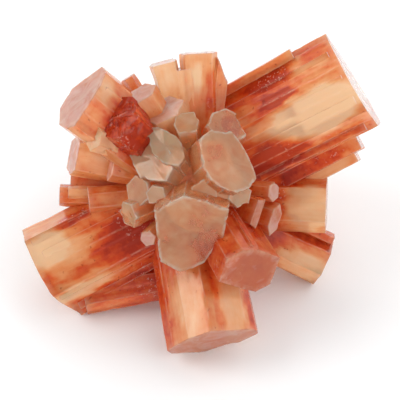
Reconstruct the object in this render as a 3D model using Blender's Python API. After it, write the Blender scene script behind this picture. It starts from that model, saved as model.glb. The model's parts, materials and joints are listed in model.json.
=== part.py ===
"""Aragonite crystal cluster: one fused star of pseudo-hexagonal prisms.

The prisms grow out of one heart. Their places are given in a leaning frame
(right, up, toward): right is the world's X, and the up and toward directions
lean back from the world's Z and front by LEAN_DEG. They are turned into the
world afterwards, with Z up and the cluster standing on Z = 0.
All lengths in the tables are millimetres.
"""
import math
from dataclasses import dataclass

import bmesh
import bpy
from mathutils import Vector

MM = 0.001

# Stand and lean of the whole cluster.
LEAN_DEG = 45.0
HEART_HEIGHT = 15.3
HEART_RIGHT = -1.0
HEART_BACK = 3.2
TRIM_DEPTH = 12.0
TRIM_REACH = 80.0

# Cross-sections of the large prisms. In each corner the first value runs
# across the prism, the second through its thickness, and the third is how
# far the end face stands out (or back) at that corner.
UPPER_RIGHT_SECTION = (
    (8.4, -2.5, -0.6), (7.4, -1.4, -0.6), (2.8, 2.8, -0.2), (-1.0, 5.6, 0.1),
    (-5.5, 6.0, 0.4), (-6.9, 3.6, 0.4), (-8.4, 2.0, 0.5), (-8.2, -3.5, 0.6),
    (-4.5, -7.5, 0.2), (5.0, -7.5, -0.6),
)
LOWER_LEFT_SECTION = (
    (-8.0, -1.0, 0.0), (-6.2, 3.8, 0.1), (-1.0, 4.6, 0.3), (3.6, 4.8, 0.1),
    (5.0, 3.9, -0.6), (8.3, -0.5, -2.3), (7.4, -2.0, -2.0), (2.6, -5.6, -0.4),
    (-5.0, -5.6, 0.0),
)
BOTTOM_SECTION = (
    (-7.2, -0.5, 0.0), (-6.1, 1.6, 0.0), (-3.5, 4.3, 0.0), (0.2, 5.9, 0.0),
    (5.6, 3.3, 0.0), (7.1, 1.5, 0.0), (7.3, -0.4, 0.0), (4.1, -3.2, 0.0),
    (2.0, -3.0, 0.0), (-1.8, -5.0, 0.0), (-6.7, -2.2, 0.0),
)
LOWER_FRONT_SECTION = (
    (-2.1, 4.6, 0.0), (0.7, 4.5, 0.0), (3.0, 2.7, 0.0), (5.1, -1.3, 0.0),
    (1.9, -5.4, 0.0), (-0.8, -5.2, 0.0), (-2.7, -2.6, 0.0), (-4.9, 1.1, 0.0),
)
UPPER_LEFT_SECTION = (
    (3.3, -4.3, 0.0), (5.3, -0.6, 0.0), (5.0, 3.1, 0.0), (3.9, 5.0, 0.0),
    (1.4, 4.6, 0.0), (-1.5, 3.9, 0.0), (-3.5, 3.4, 0.0), (-5.5, 1.7, 0.0),
    (-6.0, -1.1, 0.0), (-0.4, -5.6, 0.0),
)
CLEAR_FRONT_SECTION = (
    (-6.0, 2.8, 0.2), (-3.6, 4.7, 0.3), (-1.7, 6.0, 0.3), (1.9, 5.6, 0.3),
    (5.4, 4.8, 0.1), (5.3, 2.1, -0.4), (5.3, -0.5, -1.5), (3.0, -5.3, -2.2),
    (1.2, -6.2, -1.2), (-0.5, -6.9, -0.5), (-3.8, -5.4, 0.0), (-4.7, -1.8, 0.3),
)
CLEAR_UPPER_SECTION = (
    (5.2, 1.8, 0.1), (5.0, -0.8, 0.2), (2.8, -3.3, -0.2), (1.0, -3.6, -0.6),
    (-1.4, -3.2, -0.8), (-3.5, -2.7, -1.0), (-5.2, -1.8, -1.2), (-5.6, 0.2, -0.8),
    (-5.0, 2.7, 0.1), (-3.3, 4.3, 0.3), (-0.8, 5.0, 0.3), (1.6, 4.4, 0.2),
)
CLEAR_LEFT_SECTION = (
    (1.1, -4.1, -0.3), (-1.1, -3.8, 0.0), (-2.6, -2.4, 0.2), (-3.1, 0.3, 0.2),
    (-2.3, 3.0, 0.2), (-0.4, 4.7, -0.2), (1.8, 4.7, -0.6), (3.0, 2.0, -0.4),
    (3.5, 0.3, -0.3), (2.6, -1.3, 0.2),
)
CLEAR_LEFT_FRONT_SECTION = (
    (1.5, -3.5, 0.2), (0.6, -4.3, 0.2), (-0.7, -3.5, 0.3), (-1.6, -1.8, 0.2),
    (-2.1, -0.5, -0.5), (-2.1, 1.2, -1.4), (-1.1, 2.9, -1.6), (0.5, 3.8, -1.0),
    (2.0, 2.3, 0.2), (2.4, -0.2, 0.3),
)
CLEAR_TOP_SECTION = (
    (2.3, 1.6, 0.0), (2.3, -0.8, 0.2), (0.9, -2.8, 0.2), (-0.9, -2.9, 0.0),
    (-2.7, -1.6, -0.6), (-4.1, -1.1, -1.0), (-3.2, 1.3, -0.4), (0.1, 3.1, 0.0),
)
TOP_RIGHT_SECTION = (
    (1.4, -2.0, 1.0), (1.4, 1.8, 1.0), (0.2, 2.2, 0.8), (-1.6, 1.4, -4.2),
    (-1.6, -1.8, -4.2), (0.2, -2.2, 0.8),
)


def hexagon(wide, thick, point=0.5):
    """Six-sided section with two corners on the wide axis."""
    w = wide / 2
    h = thick / 2
    return (
        (w, 0.0, 0.0), (w * point, h, 0.0), (-w * point, h, 0.0),
        (-w, 0.0, 0.0), (-w * point, -h, 0.0), (w * point, -h, 0.0),
    )


def blade(wide, thick):
    """Flat four-sided blade, a little narrower on its near side."""
    w = wide / 2
    h = thick / 2
    return ((w, -h, 0.0), (w * 0.8, h, 0.0), (-w * 0.8, h, 0.0), (-w, -h, 0.0))


@dataclass(frozen=True)
class Crystal:
    """One crystal: the ends of its axis, its section and how it is turned."""

    name: str
    foot: tuple
    tip: tuple
    section: tuple
    roll: float = 0.0
    foot_scale: float = 0.92
    lean: tuple = (0.0, 0.0)


HEART = Crystal("heart", (0.3, -0.6, -8.0), (0.3, 0.4, 9.5), hexagon(12.0, 12.0))

LARGE_PRISMS = (
    Crystal("upper right prism", (-1.7, 2.9, -2.0), (24.5, 16.5, 2.8), UPPER_RIGHT_SECTION),
    Crystal("lower left prism", (1.2, -1.3, 0.5), (-23.6, -14.2, -0.3), LOWER_LEFT_SECTION),
    Crystal("bottom prism", (-1.9, -0.7, 0.5), (2.7, -24.2, 8.6), BOTTOM_SECTION),
    Crystal("lower front prism", (3.0, -4.0, 4.0), (8.2, -13.0, 14.0), LOWER_FRONT_SECTION),
    Crystal("upper left prism", (-1.0, 0.5, -0.5), (-17.6, 13.3, 9.0), UPPER_LEFT_SECTION),
)

SIDE_PRISMS = (
    Crystal("upper right blade", (2.5, -5.1, -3.0), (25.8, 7.0, 1.0), blade(3.2, 6.0)),
    Crystal("upper right lower blade", (3.4, -6.9, -5.5), (25.6, 4.6, -1.4), blade(1.9, 5.0)),
    Crystal("upper right top blade", (-2.1, 10.8, -2.0), (15.3, 20.6, 0.0), blade(2.0, 3.0)),
    Crystal("lower left second prism", (3.0, -13.6, -1.0), (-17.4, -17.2, -0.5), hexagon(6.4, 5.6)),
    Crystal("right prism", (0.9, -2.6, -2.0), (20.7, -3.2, -0.5), hexagon(8.9, 7.0, 0.6)),
    Crystal("lower right prism", (0.5, -3.0, -3.0), (20.4, -12.4, -5.2), hexagon(7.6, 6.5)),
    Crystal("lower right knob", (2.0, 0.5, -3.0), (21.7, -8.8, -5.0), hexagon(2.4, 4.0)),
    Crystal("top left fan", (-0.5, 2.5, 0.0), (-5.0, 19.1, 3.0), hexagon(4.6, 4.0, 0.8), 0.0, 0.5),
    Crystal("top prism", (1.5, 3.0, 0.0), (0.5, 20.7, 2.0), hexagon(6.2, 5.4, 0.7), 0.0, 0.7),
    Crystal("top right blade", (2.3, 3.0, -1.0), (3.9, 19.6, 0.8), TOP_RIGHT_SECTION, 0.0, 0.8),
    Crystal("top middle lath", (0.3, 2.5, 0.0), (-2.0, 18.2, 2.4), hexagon(3.8, 4.2, 0.7), 0.0, 0.7),
    Crystal("left prism", (0.0, 1.0, -2.0), (-19.0, 4.6, 3.5), hexagon(6.4, 6.0, 0.7)),
    Crystal("left low prism", (0.0, -2.0, -1.0), (-21.3, -1.6, -0.5), hexagon(3.7, 4.4, 0.7)),
    Crystal("left upper lath", (0.0, 0.0, -2.0), (-19.6, 0.6, -1.5), hexagon(3.4, 4.0)),
    Crystal("left small block", (0.0, -1.0, 0.0), (-19.9, -1.2, 1.6), hexagon(2.2, 2.0)),
    Crystal("left front prism", (0.0, -1.0, 2.0), (-16.6, -2.6, 3.2), hexagon(4.6, 3.6)),
    Crystal("left inner prism", (0.0, 0.0, 2.0), (-13.2, 2.6, 5.6), hexagon(4.2, 4.0)),
)

SMALL_CRYSTALS = (
    Crystal("brown tip", (-2.0, 3.0, 1.0), (-10.5, 16.8, 3.0), hexagon(2.6, 3.0)),
    Crystal("cream lump", (-3.0, 3.0, 2.0), (-13.5, 16.3, 5.5), hexagon(2.4, 2.4)),
    Crystal("upper left small prism", (-2.0, 4.0, 2.0), (-8.2, 14.1, 9.0), hexagon(5.2, 4.6)),
    Crystal("upper cream prism", (-1.0, 3.0, 2.0), (-5.0, 11.5, 8.5), hexagon(7.5, 6.0)),
    Crystal("upper left broken core", (-6.0, 5.0, 4.0), (-12.2, 10.4, 11.4), hexagon(8.2, 8.6, 0.55)),
    Crystal("upper left broken step", (-4.0, 3.0, 5.0), (-10.6, 8.2, 10.7), hexagon(4.6, 4.2)),
    Crystal("upper left cream wedge", (-8.0, 5.0, 4.0), (-15.6, 7.2, 11.6), hexagon(4.4, 3.6)),
    Crystal("right small prism", (2.0, -0.5, 2.0), (12.2, -1.1, 8.5), hexagon(3.4, 3.0)),
    Crystal("right slender plate", (2.5, -2.0, 3.0), (9.6, -4.4, 11.0), blade(5.0, 1.6)),
    Crystal("right corner plate", (2.0, -2.0, 1.0), (12.4, -5.4, 8.0), hexagon(5.4, 3.0)),
    Crystal("front left small prism", (-1.0, -2.0, 2.0), (-7.3, -8.3, 9.5), hexagon(2.8, 3.4)),
)

CLEAR_CRYSTALS = (
    Crystal("clear front prism", (0.0, -2.2, 2.0), (-0.8, -7.4, 15.5), CLEAR_FRONT_SECTION),
    Crystal("clear upper prism", (1.5, 1.0, 3.0), (5.2, 4.1, 14.0), CLEAR_UPPER_SECTION),
    Crystal("clear left prism", (-1.5, 1.0, 2.0), (-7.0, 4.2, 11.4), CLEAR_LEFT_SECTION),
    Crystal("clear left front prism", (-1.0, 1.5, 3.0), (-4.4, 6.0, 13.0), CLEAR_LEFT_FRONT_SECTION),
    Crystal("clear top prism", (1.5, 4.0, 3.0), (4.4, 9.3, 11.9), CLEAR_TOP_SECTION),
    Crystal("clear small top prism", (-0.5, 4.0, 4.0), (-1.3, 9.5, 11.6), hexagon(4.1, 4.1, 0.7)),
    Crystal("clear middle mass", (0.0, 0.5, 2.0), (-0.9, 2.6, 10.2), hexagon(7.4, 7.0)),
    Crystal("clear far left prism", (-2.0, -1.0, 3.0), (-10.3, -4.6, 9.0), hexagon(4.6, 4.2)),
    Crystal("clear far left upper prism", (-2.0, 0.0, 3.0), (-8.8, -1.0, 10.0), hexagon(5.0, 4.8)),
    Crystal("pale middle lump", (-1.0, 0.0, 3.0), (-6.0, -1.6, 12.4), hexagon(3.4, 3.4)),
    Crystal("pale lump", (1.0, -0.5, 4.0), (1.5, -1.2, 14.2), hexagon(4.6, 3.6)),
    Crystal("pale right lump", (1.5, -0.5, 4.0), (3.9, -1.3, 13.6), hexagon(4.0, 3.6)),
    Crystal("pale far right lump", (2.0, -0.5, 4.0), (6.9, -1.6, 12.4), hexagon(4.2, 3.8)),
)

BACK_PRISMS = (
    Crystal("back left leg", (0.0, 0.0, -1.0), (-7.5, 1.5, -18.4), hexagon(11.0, 9.0)),
    Crystal("back right leg", (0.0, 0.0, -1.0), (10.0, 0.0, -17.8), hexagon(9.0, 8.0)),
    Crystal("back upper left prism", (0.0, 1.0, 0.0), (-12.0, 10.5, -12.5), hexagon(9.0, 8.0)),
    Crystal("back upper right prism", (0.0, 1.0, 0.0), (11.0, 8.0, -14.0), hexagon(9.0, 9.0)),
    Crystal("back top prism", (0.0, 1.0, 0.0), (1.0, 14.0, -13.0), hexagon(8.0, 8.0)),
    Crystal("back left prism", (0.0, 0.0, 0.0), (-17.0, 1.0, -9.0), hexagon(8.0, 7.0)),
    Crystal("back right prism", (0.0, 0.0, 0.0), (17.0, 0.0, -9.5), hexagon(7.0, 7.0)),
    Crystal("underside prism", (0.0, -1.0, -1.0), (-1.0, -9.5, -8.5), hexagon(8.0, 8.0)),
    Crystal("back small prism", (0.0, 1.0, 0.0), (-8.2, 13.6, -6.0), hexagon(5.0, 5.0)),
    Crystal("back low prism", (0.5, -1.0, -2.0), (1.6, -3.4, -13.6), hexagon(6.0, 5.0)),
    Crystal("back low left prism", (0.0, -1.0, -1.0), (-13.6, -3.4, -8.2), hexagon(5.2, 4.6)),
    Crystal("back high right prism", (0.0, 1.0, -1.0), (18.2, 7.4, -7.2), hexagon(6.0, 5.4)),
    Crystal("back crown prism", (0.5, 1.0, -1.0), (6.0, 12.2, -9.0), hexagon(5.0, 4.6)),
    Crystal("back high left prism", (0.0, 1.0, -1.0), (-16.0, 7.6, -5.4), hexagon(5.6, 5.0)),
    Crystal("back small left leg", (-0.5, 0.0, -2.0), (-13.2, -0.4, -13.0), hexagon(3.6, 3.4)),
    Crystal("back small right prism", (0.5, 0.0, -2.0), (14.6, -3.0, -11.0), hexagon(4.0, 3.6)),
)

MAIN_CRYSTALS = (
    (HEART,) + LARGE_PRISMS + SIDE_PRISMS + BACK_PRISMS + SMALL_CRYSTALS + CLEAR_CRYSTALS
)


@dataclass(frozen=True)
class Ridge:
    """A blade grown into a prism's side, given by its place in that prism's section."""

    parent: str
    across: float
    through: float
    short: float
    wide: float
    thick: float
    start: float = 0.35


RIDGES = (
    Ridge("upper right prism", -3.2, 5.45, 0.5, 1.8, 1.3),
    Ridge("upper right prism", 0.9, 3.9, 0.8, 1.3, 1.3),
    Ridge("upper right prism", 4.9, 0.5, 1.4, 1.6, 1.2),
    Ridge("upper right prism", -7.5, 2.7, 1.2, 1.4, 1.8),
    Ridge("upper right prism", 2.0, -7.2, 2.0, 2.4, 1.4),
    Ridge("upper right prism", -2.4, -7.3, 4.0, 1.6, 1.4),
    Ridge("lower left prism", 4.3, 4.2, 0.9, 1.2, 1.1),
    Ridge("lower left prism", -5.6, 3.7, 0.8, 1.3, 1.0),
    Ridge("lower left prism", -3.1, 4.0, 1.6, 1.6, 1.1),
    Ridge("lower left prism", 1.0, 4.35, 1.0, 1.2, 1.0),
    Ridge("lower left prism", 6.7, 1.5, 2.8, 1.5, 1.6),
    Ridge("lower left prism", -2.0, -5.4, 3.0, 2.2, 1.2),
    Ridge("lower front prism", 1.9, 3.2, 0.8, 1.5, 1.2, 0.2),
    Ridge("upper left prism", -3.4, 3.0, 1.0, 1.6, 1.3),
    Ridge("back left leg", 1.2, 4.1, 2.0, 2.0, 1.4),
    Ridge("back left leg", -1.6, -4.2, 1.2, 1.8, 1.4),
    Ridge("back left leg", 3.6, -2.5, 2.2, 1.8, 1.8),
    Ridge("back right leg", 0.8, -3.7, 1.5, 1.8, 1.4),
    Ridge("back right leg", -1.2, 3.7, 1.4, 1.6, 1.4),
    Ridge("back upper left prism", 0.8, -3.7, 1.0, 2.0, 1.4),
    Ridge("back upper left prism", -1.8, 3.6, 1.2, 1.4, 1.6),
    Ridge("back upper right prism", 1.2, -4.2, 1.6, 1.8, 1.4),
    Ridge("back upper right prism", -0.6, 4.2, 0.8, 1.6, 1.4),
    Ridge("back top prism", 0.4, -3.7, 1.2, 1.8, 1.4),
    Ridge("back left prism", 0.6, -3.2, 1.4, 1.6, 1.2),
    Ridge("back right prism", -0.4, -3.2, 1.0, 1.6, 1.2),
    Ridge("back left leg", -0.8, 0.6, -0.25, 5.8, 4.2, 0.6),
    Ridge("back upper left prism", 0.6, 0.4, -0.5, 4.6, 3.6, 0.6),
    Ridge("back upper right prism", -0.5, -0.7, -0.4, 4.8, 4.2, 0.6),
    Ridge("back top prism", 0.5, -0.4, -0.5, 4.0, 3.4, 0.6),
    Ridge("back right prism", -0.4, 0.5, -0.4, 3.4, 3.0, 0.6),
)


def leaning_to_world(point):
    """Turn a (right, up, toward) point in millimetres into world metres."""
    right, up, toward = point
    lean = math.radians(LEAN_DEG)
    x = right + HEART_RIGHT
    y = up * math.sin(lean) - toward * math.cos(lean) + HEART_BACK
    z = up * math.cos(lean) + toward * math.sin(lean) + HEART_HEIGHT
    return Vector((x * MM, y * MM, z * MM))


def crystal_axes(crystal):
    """Length and unit directions of a crystal: along, across and through."""
    axis = Vector(crystal.tip) - Vector(crystal.foot)
    along = axis.normalized()
    across = Vector((0.0, 0.0, 1.0)).cross(along).normalized()
    through = along.cross(across)
    turn = math.radians(crystal.roll)
    wide = across * math.cos(turn) + through * math.sin(turn)
    thick = through * math.cos(turn) - across * math.sin(turn)
    return axis.length, along, wide, thick


def crystal_corners(crystal):
    """Foot and end corners of a crystal in the leaning frame, in millimetres."""
    length, along, wide, thick = crystal_axes(crystal)
    lean_wide = math.tan(math.radians(crystal.lean[0]))
    lean_thick = math.tan(math.radians(crystal.lean[1]))
    feet = []
    ends = []
    for w, h, rise in crystal.section:
        small = crystal.foot_scale
        feet.append(Vector(crystal.foot) + wide * (w * small) + thick * (h * small))
        reach = length + rise + lean_wide * w + lean_thick * h
        ends.append(Vector(crystal.foot) + along * reach + wide * w + thick * h)
    return feet, ends


def ridge_crystal(ridge):
    """Turn a ridge into a crystal that runs along its parent."""
    parent = next(c for c in MAIN_CRYSTALS if c.name == ridge.parent)
    length, along, wide, thick = crystal_axes(parent)
    start = Vector(parent.foot) + along * (length * ridge.start)
    small = parent.foot_scale + (1.0 - parent.foot_scale) * ridge.start
    foot = start + (wide * ridge.across + thick * ridge.through) * small
    end = Vector(parent.foot) + along * (length - ridge.short)
    tip = end + wide * ridge.across + thick * ridge.through
    return Crystal(
        ridge.parent + " ridge", tuple(foot), tuple(tip), blade(ridge.wide, ridge.thick)
    )


def prism_object(crystal):
    """Build one closed prism with a flat foot and a fanned end face."""
    feet, ends = crystal_corners(crystal)
    count = len(feet)
    mesh = bmesh.new()
    low = [mesh.verts.new(leaning_to_world(corner)) for corner in feet]
    high = [mesh.verts.new(leaning_to_world(corner)) for corner in ends]
    middle = mesh.verts.new(sum((v.co for v in high), Vector()) / count)
    centre = mesh.verts.new(sum((v.co for v in low), Vector()) / count)
    for i in range(count):
        j = (i + 1) % count
        mesh.faces.new((low[i], low[j], high[j]))
        mesh.faces.new((low[i], high[j], high[i]))
        mesh.faces.new((high[i], high[j], middle))
        mesh.faces.new((low[j], low[i], centre))
    bmesh.ops.recalc_face_normals(mesh, faces=mesh.faces)
    data = bpy.data.meshes.new(crystal.name)
    mesh.to_mesh(data)
    mesh.free()
    piece = bpy.data.objects.new(crystal.name, data)
    bpy.context.scene.collection.objects.link(piece)
    return piece


def apply_boolean(target, tool, operation):
    """Join or cut the target with the tool, then remove the tool."""
    modifier = target.modifiers.new(operation.lower(), "BOOLEAN")
    modifier.operation = operation
    modifier.solver = "EXACT"
    modifier.object = tool
    graph = bpy.context.evaluated_depsgraph_get()
    result = bpy.data.meshes.new_from_object(target.evaluated_get(graph))
    target.modifiers.clear()
    target.data = result
    bpy.data.objects.remove(tool, do_unlink=True)


def fuse_crystals(crystals):
    """Grow all crystals together into one solid."""
    cluster = prism_object(crystals[0])
    for crystal in crystals[1:]:
        apply_boolean(cluster, prism_object(crystal), "UNION")
    return cluster


def trim_to_floor(cluster):
    """Bruise the lowest corners flat in the plane Z = 0, where the cluster rests."""
    mesh = bmesh.new()
    bmesh.ops.create_cube(mesh, size=1.0)
    for vertex in mesh.verts:
        vertex.co.x *= TRIM_REACH * MM
        vertex.co.y *= TRIM_REACH * MM
        vertex.co.z = (vertex.co.z - 0.5) * TRIM_DEPTH * MM
    data = bpy.data.meshes.new("floor cut")
    mesh.to_mesh(data)
    mesh.free()
    cutter = bpy.data.objects.new("floor cut", data)
    bpy.context.scene.collection.objects.link(cutter)
    apply_boolean(cluster, cutter, "DIFFERENCE")


def aragonite_material():
    """Clear orange aragonite, paler where it is thin."""
    material = bpy.data.materials.new("aragonite")
    material.use_nodes = True
    shader = material.node_tree.nodes["Principled BSDF"]
    shader.inputs["Base Color"].default_value = (0.72, 0.30, 0.15, 1.0)
    shader.inputs["Roughness"].default_value = 0.25
    shader.inputs["IOR"].default_value = 1.6
    shader.inputs["Transmission Weight"].default_value = 0.5
    material.diffuse_color = (0.72, 0.30, 0.15, 1.0)
    material.roughness = 0.25
    return material


def main():
    """Build the cluster as one object named aragonite_cluster."""
    for old in list(bpy.data.objects):
        bpy.data.objects.remove(old, do_unlink=True)
    ridges = tuple(ridge_crystal(ridge) for ridge in RIDGES)
    cluster = fuse_crystals(MAIN_CRYSTALS + ridges)
    trim_to_floor(cluster)
    cluster.name = "aragonite_cluster"
    cluster.data.name = "aragonite_cluster"
    cluster.data.materials.clear()
    cluster.data.materials.append(aragonite_material())


if __name__ == "__main__":
    main()
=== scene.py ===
"""Dressed model of a free-standing aragonite star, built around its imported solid.

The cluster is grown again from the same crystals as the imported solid, with fine lengthwise
striations, worn rims and uneven end faces, and it is dressed as clear to milky orange aragonite.
Crystal tables are in millimetres, in the leaning frame (right, up, toward) of the part.
"""
import json
import logging
import math
from dataclasses import dataclass
from enum import Enum

import bmesh
import bpy
import numpy as np
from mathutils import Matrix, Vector

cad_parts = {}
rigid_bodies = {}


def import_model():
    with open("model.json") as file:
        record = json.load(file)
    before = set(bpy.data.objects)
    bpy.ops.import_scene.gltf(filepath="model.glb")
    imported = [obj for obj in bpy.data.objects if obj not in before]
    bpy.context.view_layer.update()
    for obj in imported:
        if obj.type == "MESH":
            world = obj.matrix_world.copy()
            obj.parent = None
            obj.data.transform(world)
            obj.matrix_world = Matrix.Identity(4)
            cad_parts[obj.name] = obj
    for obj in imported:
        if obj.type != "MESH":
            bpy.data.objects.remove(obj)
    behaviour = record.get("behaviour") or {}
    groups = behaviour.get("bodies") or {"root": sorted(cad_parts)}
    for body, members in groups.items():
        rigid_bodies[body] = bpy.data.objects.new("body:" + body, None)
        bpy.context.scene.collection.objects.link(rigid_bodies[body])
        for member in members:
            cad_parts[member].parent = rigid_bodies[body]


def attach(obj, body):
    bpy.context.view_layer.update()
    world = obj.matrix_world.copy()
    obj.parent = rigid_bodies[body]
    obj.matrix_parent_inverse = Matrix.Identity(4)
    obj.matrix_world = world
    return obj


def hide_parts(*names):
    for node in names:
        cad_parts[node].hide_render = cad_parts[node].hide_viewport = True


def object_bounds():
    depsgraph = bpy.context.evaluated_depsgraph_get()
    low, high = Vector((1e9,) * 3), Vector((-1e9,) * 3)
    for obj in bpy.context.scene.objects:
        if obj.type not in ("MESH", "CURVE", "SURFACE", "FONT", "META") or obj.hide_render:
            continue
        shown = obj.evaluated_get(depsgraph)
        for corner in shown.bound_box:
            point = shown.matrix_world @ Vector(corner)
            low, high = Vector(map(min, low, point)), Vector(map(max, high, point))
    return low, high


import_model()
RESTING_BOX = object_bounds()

LOG = logging.getLogger("aragonite")

MM = 0.001
LEAN_DEG = 45.0
HEART_HEIGHT = 15.3
HEART_RIGHT = -1.0
HEART_BACK = 3.2
CAD_NODE = "aragonite_cluster"
BODY = "root"

# A ridge whose place through its prism's section is past FRONT_SIDE is sunk by RIDGE_SINK.
RIDGE_SINK = 0.24
FRONT_SIDE = 2.9
BLADE_TAPER = 0.8

# The photograph's scale where it is aimed, its middle pixel, the camera's distance, and the
# rounds in which a corner's depth is found.
MM_PER_PIXEL = 0.157
PHOTO_MIDDLE = 200.0
CAMERA_DISTANCE = 450.0
SIGHT_ROUNDS = 8

Corner = tuple[float, float, float]
Point = tuple[float, float, float]
Range = tuple[float, float]

PHOTO_AIM: Point = (0.785, -2.355, 0.0)


class Growth(Enum):
    """Which of the two growths of the cluster a crystal belongs to."""

    ORANGE = "orange prisms"
    CLEAR = "clear crystals"


UPPER_RIGHT_SECTION: tuple[Corner, ...] = (
    (8.4, -2.5, -0.6), (7.4, -1.4, -0.6), (2.8, 2.8, -0.2), (-1.0, 5.6, 0.1),
    (-5.5, 6.0, 0.4), (-6.9, 3.6, 0.4), (-8.4, 2.0, 0.5), (-8.2, -3.5, 0.6),
    (-4.5, -7.5, 0.2), (5.0, -7.5, -0.6),
)
LOWER_LEFT_SECTION: tuple[Corner, ...] = (
    (-8.0, -1.0, 0.0), (-6.2, 3.8, 0.1), (-1.0, 4.6, 0.3), (3.6, 4.8, 0.1),
    (5.0, 3.9, -0.6), (8.3, -0.5, -2.3), (7.4, -2.0, -2.0), (2.6, -5.6, -0.4),
    (-5.0, -5.6, 0.0),
)
BOTTOM_SECTION: tuple[Corner, ...] = (
    (-7.2, -0.5, 0.0), (-6.1, 1.6, 0.0), (-3.5, 4.3, 0.0), (0.2, 5.9, 0.0),
    (5.6, 3.3, 0.0), (7.1, 1.5, 0.0), (7.3, -0.4, 0.0), (4.1, -3.2, 0.0),
    (2.0, -3.0, 0.0), (-1.8, -5.0, 0.0), (-6.7, -2.2, 0.0),
)
LOWER_FRONT_SECTION: tuple[Corner, ...] = (
    (-2.1, 4.6, 0.0), (0.7, 4.5, 0.0), (3.0, 2.7, 0.0), (5.1, -1.3, 0.0),
    (1.9, -5.4, 0.0), (-0.8, -5.2, 0.0), (-2.7, -2.6, 0.0), (-4.9, 1.1, 0.0),
)
UPPER_LEFT_SECTION: tuple[Corner, ...] = (
    (3.3, -4.3, 0.0), (5.3, -0.6, 0.0), (5.0, 3.1, 0.0), (3.9, 5.0, 0.0),
    (1.4, 4.6, 0.0), (-1.5, 3.9, 0.0), (-3.5, 3.4, 0.0), (-5.5, 1.7, 0.0),
    (-6.0, -1.1, 0.0), (-0.4, -5.6, 0.0),
)
TOP_RIGHT_SECTION: tuple[Corner, ...] = (
    (1.4, -2.0, 1.0), (1.4, 1.8, 1.0), (0.2, 2.2, 0.8), (-1.6, 1.4, -4.2),
    (-1.6, -1.8, -4.2), (0.2, -2.2, 0.8),
)

# Outlines of the clear crystals' end faces. In each corner the first two values are its pixel
# place in the photograph, across and down, and the third is how far the face stands out there.
CLEAR_FRONT_OUTLINE: tuple[Corner, ...] = (
    (153, 211, 0.2), (170, 202, 0.3), (184, 196, 0.3), (207, 202, 0.3), (229, 210, 0.1),
    (226, 225, -0.4), (224, 238, -1.5), (205, 263, -2.2), (192, 269, -1.2), (180, 273, -0.5),
    (160, 262, 0.0), (157, 240, 0.3),
)
CLEAR_UPPER_OUTLINE: tuple[Corner, ...] = (
    (199, 138, 0.1), (212, 129, 0.2), (232, 131, -0.2), (240, 140, -0.6), (248, 154, -0.8),
    (254, 167, -1.0), (257, 179, -1.2), (250, 188, -0.8), (238, 193, 0.1), (224, 190, 0.3),
    (210, 180, 0.3), (202, 166, 0.2),
)
CLEAR_LEFT_OUTLINE: tuple[Corner, ...] = (
    (128, 153, -0.3), (135, 141, 0.0), (146, 136, 0.2), (160, 140, 0.2), (170, 152, 0.2),
    (173, 168, -0.2), (167, 181, -0.6), (150, 180, -0.4), (140, 178, -0.3), (134, 168, 0.2),
)
CLEAR_LEFT_FRONT_OUTLINE: tuple[Corner, ...] = (
    (146, 135, 0.2), (148, 128, 0.2), (157, 126, 0.3), (168, 130, 0.2), (176, 136, -0.5),
    (184, 146, -1.4), (185, 158, -1.6), (178, 167, -1.0), (163, 163, 0.2), (152, 153, 0.3),
)
CLEAR_TOP_OUTLINE: tuple[Corner, ...] = (
    (206, 124, 0.0), (213, 112, 0.2), (226, 107, 0.2), (236, 113, 0.0), (242, 127, -0.6),
    (248, 135, -1.0), (238, 141, -0.4), (215, 138, 0.0),
)


def axis_directions(foot: Point, tip: Point) -> tuple[float, np.ndarray, np.ndarray, np.ndarray]:
    """Length and unit directions of a crystal.

    Args:
        foot: where its axis starts.
        tip: where its axis ends.

    Returns:
        Its length and its directions along, across and through.
    """
    axis = np.subtract(tip, foot)
    length = float(np.linalg.norm(axis))
    along = axis / length
    across = np.cross((0.0, 0.0, 1.0), along)
    across /= np.linalg.norm(across)
    return length, along, across, np.cross(along, across)


def seen_section(foot: Point, tip: Point, outline: tuple[Corner, ...]) -> tuple[Corner, ...]:
    """Work out a section from the outline that its end face has in the photograph.

    Args:
        foot: where the crystal's axis starts.
        tip: where its axis ends.
        outline: the end face's corners, as pixel places and rises.

    Returns:
        The section's corners, to a tenth of a millimetre.
    """
    _, along, across, through = axis_directions(foot, tip)
    plane = np.stack([across[:2], through[:2]], axis=1)
    corners: list[Corner] = []
    for x, y, rise in outline:
        middle = np.array(tip) + along * rise
        place, offset = middle, np.zeros(2)
        for _ in range(SIGHT_ROUNDS):
            size = MM_PER_PIXEL * (CAMERA_DISTANCE - place[2]) / CAMERA_DISTANCE
            seen = np.array(PHOTO_AIM[:2]) + np.array((x - PHOTO_MIDDLE, PHOTO_MIDDLE - y)) * size
            offset = np.linalg.solve(plane, seen - middle[:2])
            place = middle + across * offset[0] + through * offset[1]
        corners.append((round(float(offset[0]), 1), round(float(offset[1]), 1), rise))
    return tuple(corners)


def hexagon(wide: float, thick: float, point: float = 0.5) -> tuple[Corner, ...]:
    """Six-sided section with two corners on the wide axis.

    Args:
        wide: width over the two end corners.
        thick: thickness between the two flats.
        point: how far out the other corners stand, as a share of half the width.

    Returns:
        The section's corners.
    """
    w, h = wide / 2, thick / 2
    return (
        (w, 0.0, 0.0), (w * point, h, 0.0), (-w * point, h, 0.0),
        (-w, 0.0, 0.0), (-w * point, -h, 0.0), (w * point, -h, 0.0),
    )


def blade(wide: float, thick: float) -> tuple[Corner, ...]:
    """Flat four-sided blade, a little narrower on its near side.

    Args:
        wide: width on the far side.
        thick: thickness of the blade.

    Returns:
        The section's corners.
    """
    w, h = wide / 2, thick / 2
    return ((w, -h, 0.0), (w * BLADE_TAPER, h, 0.0), (-w * BLADE_TAPER, h, 0.0), (-w, -h, 0.0))


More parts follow.
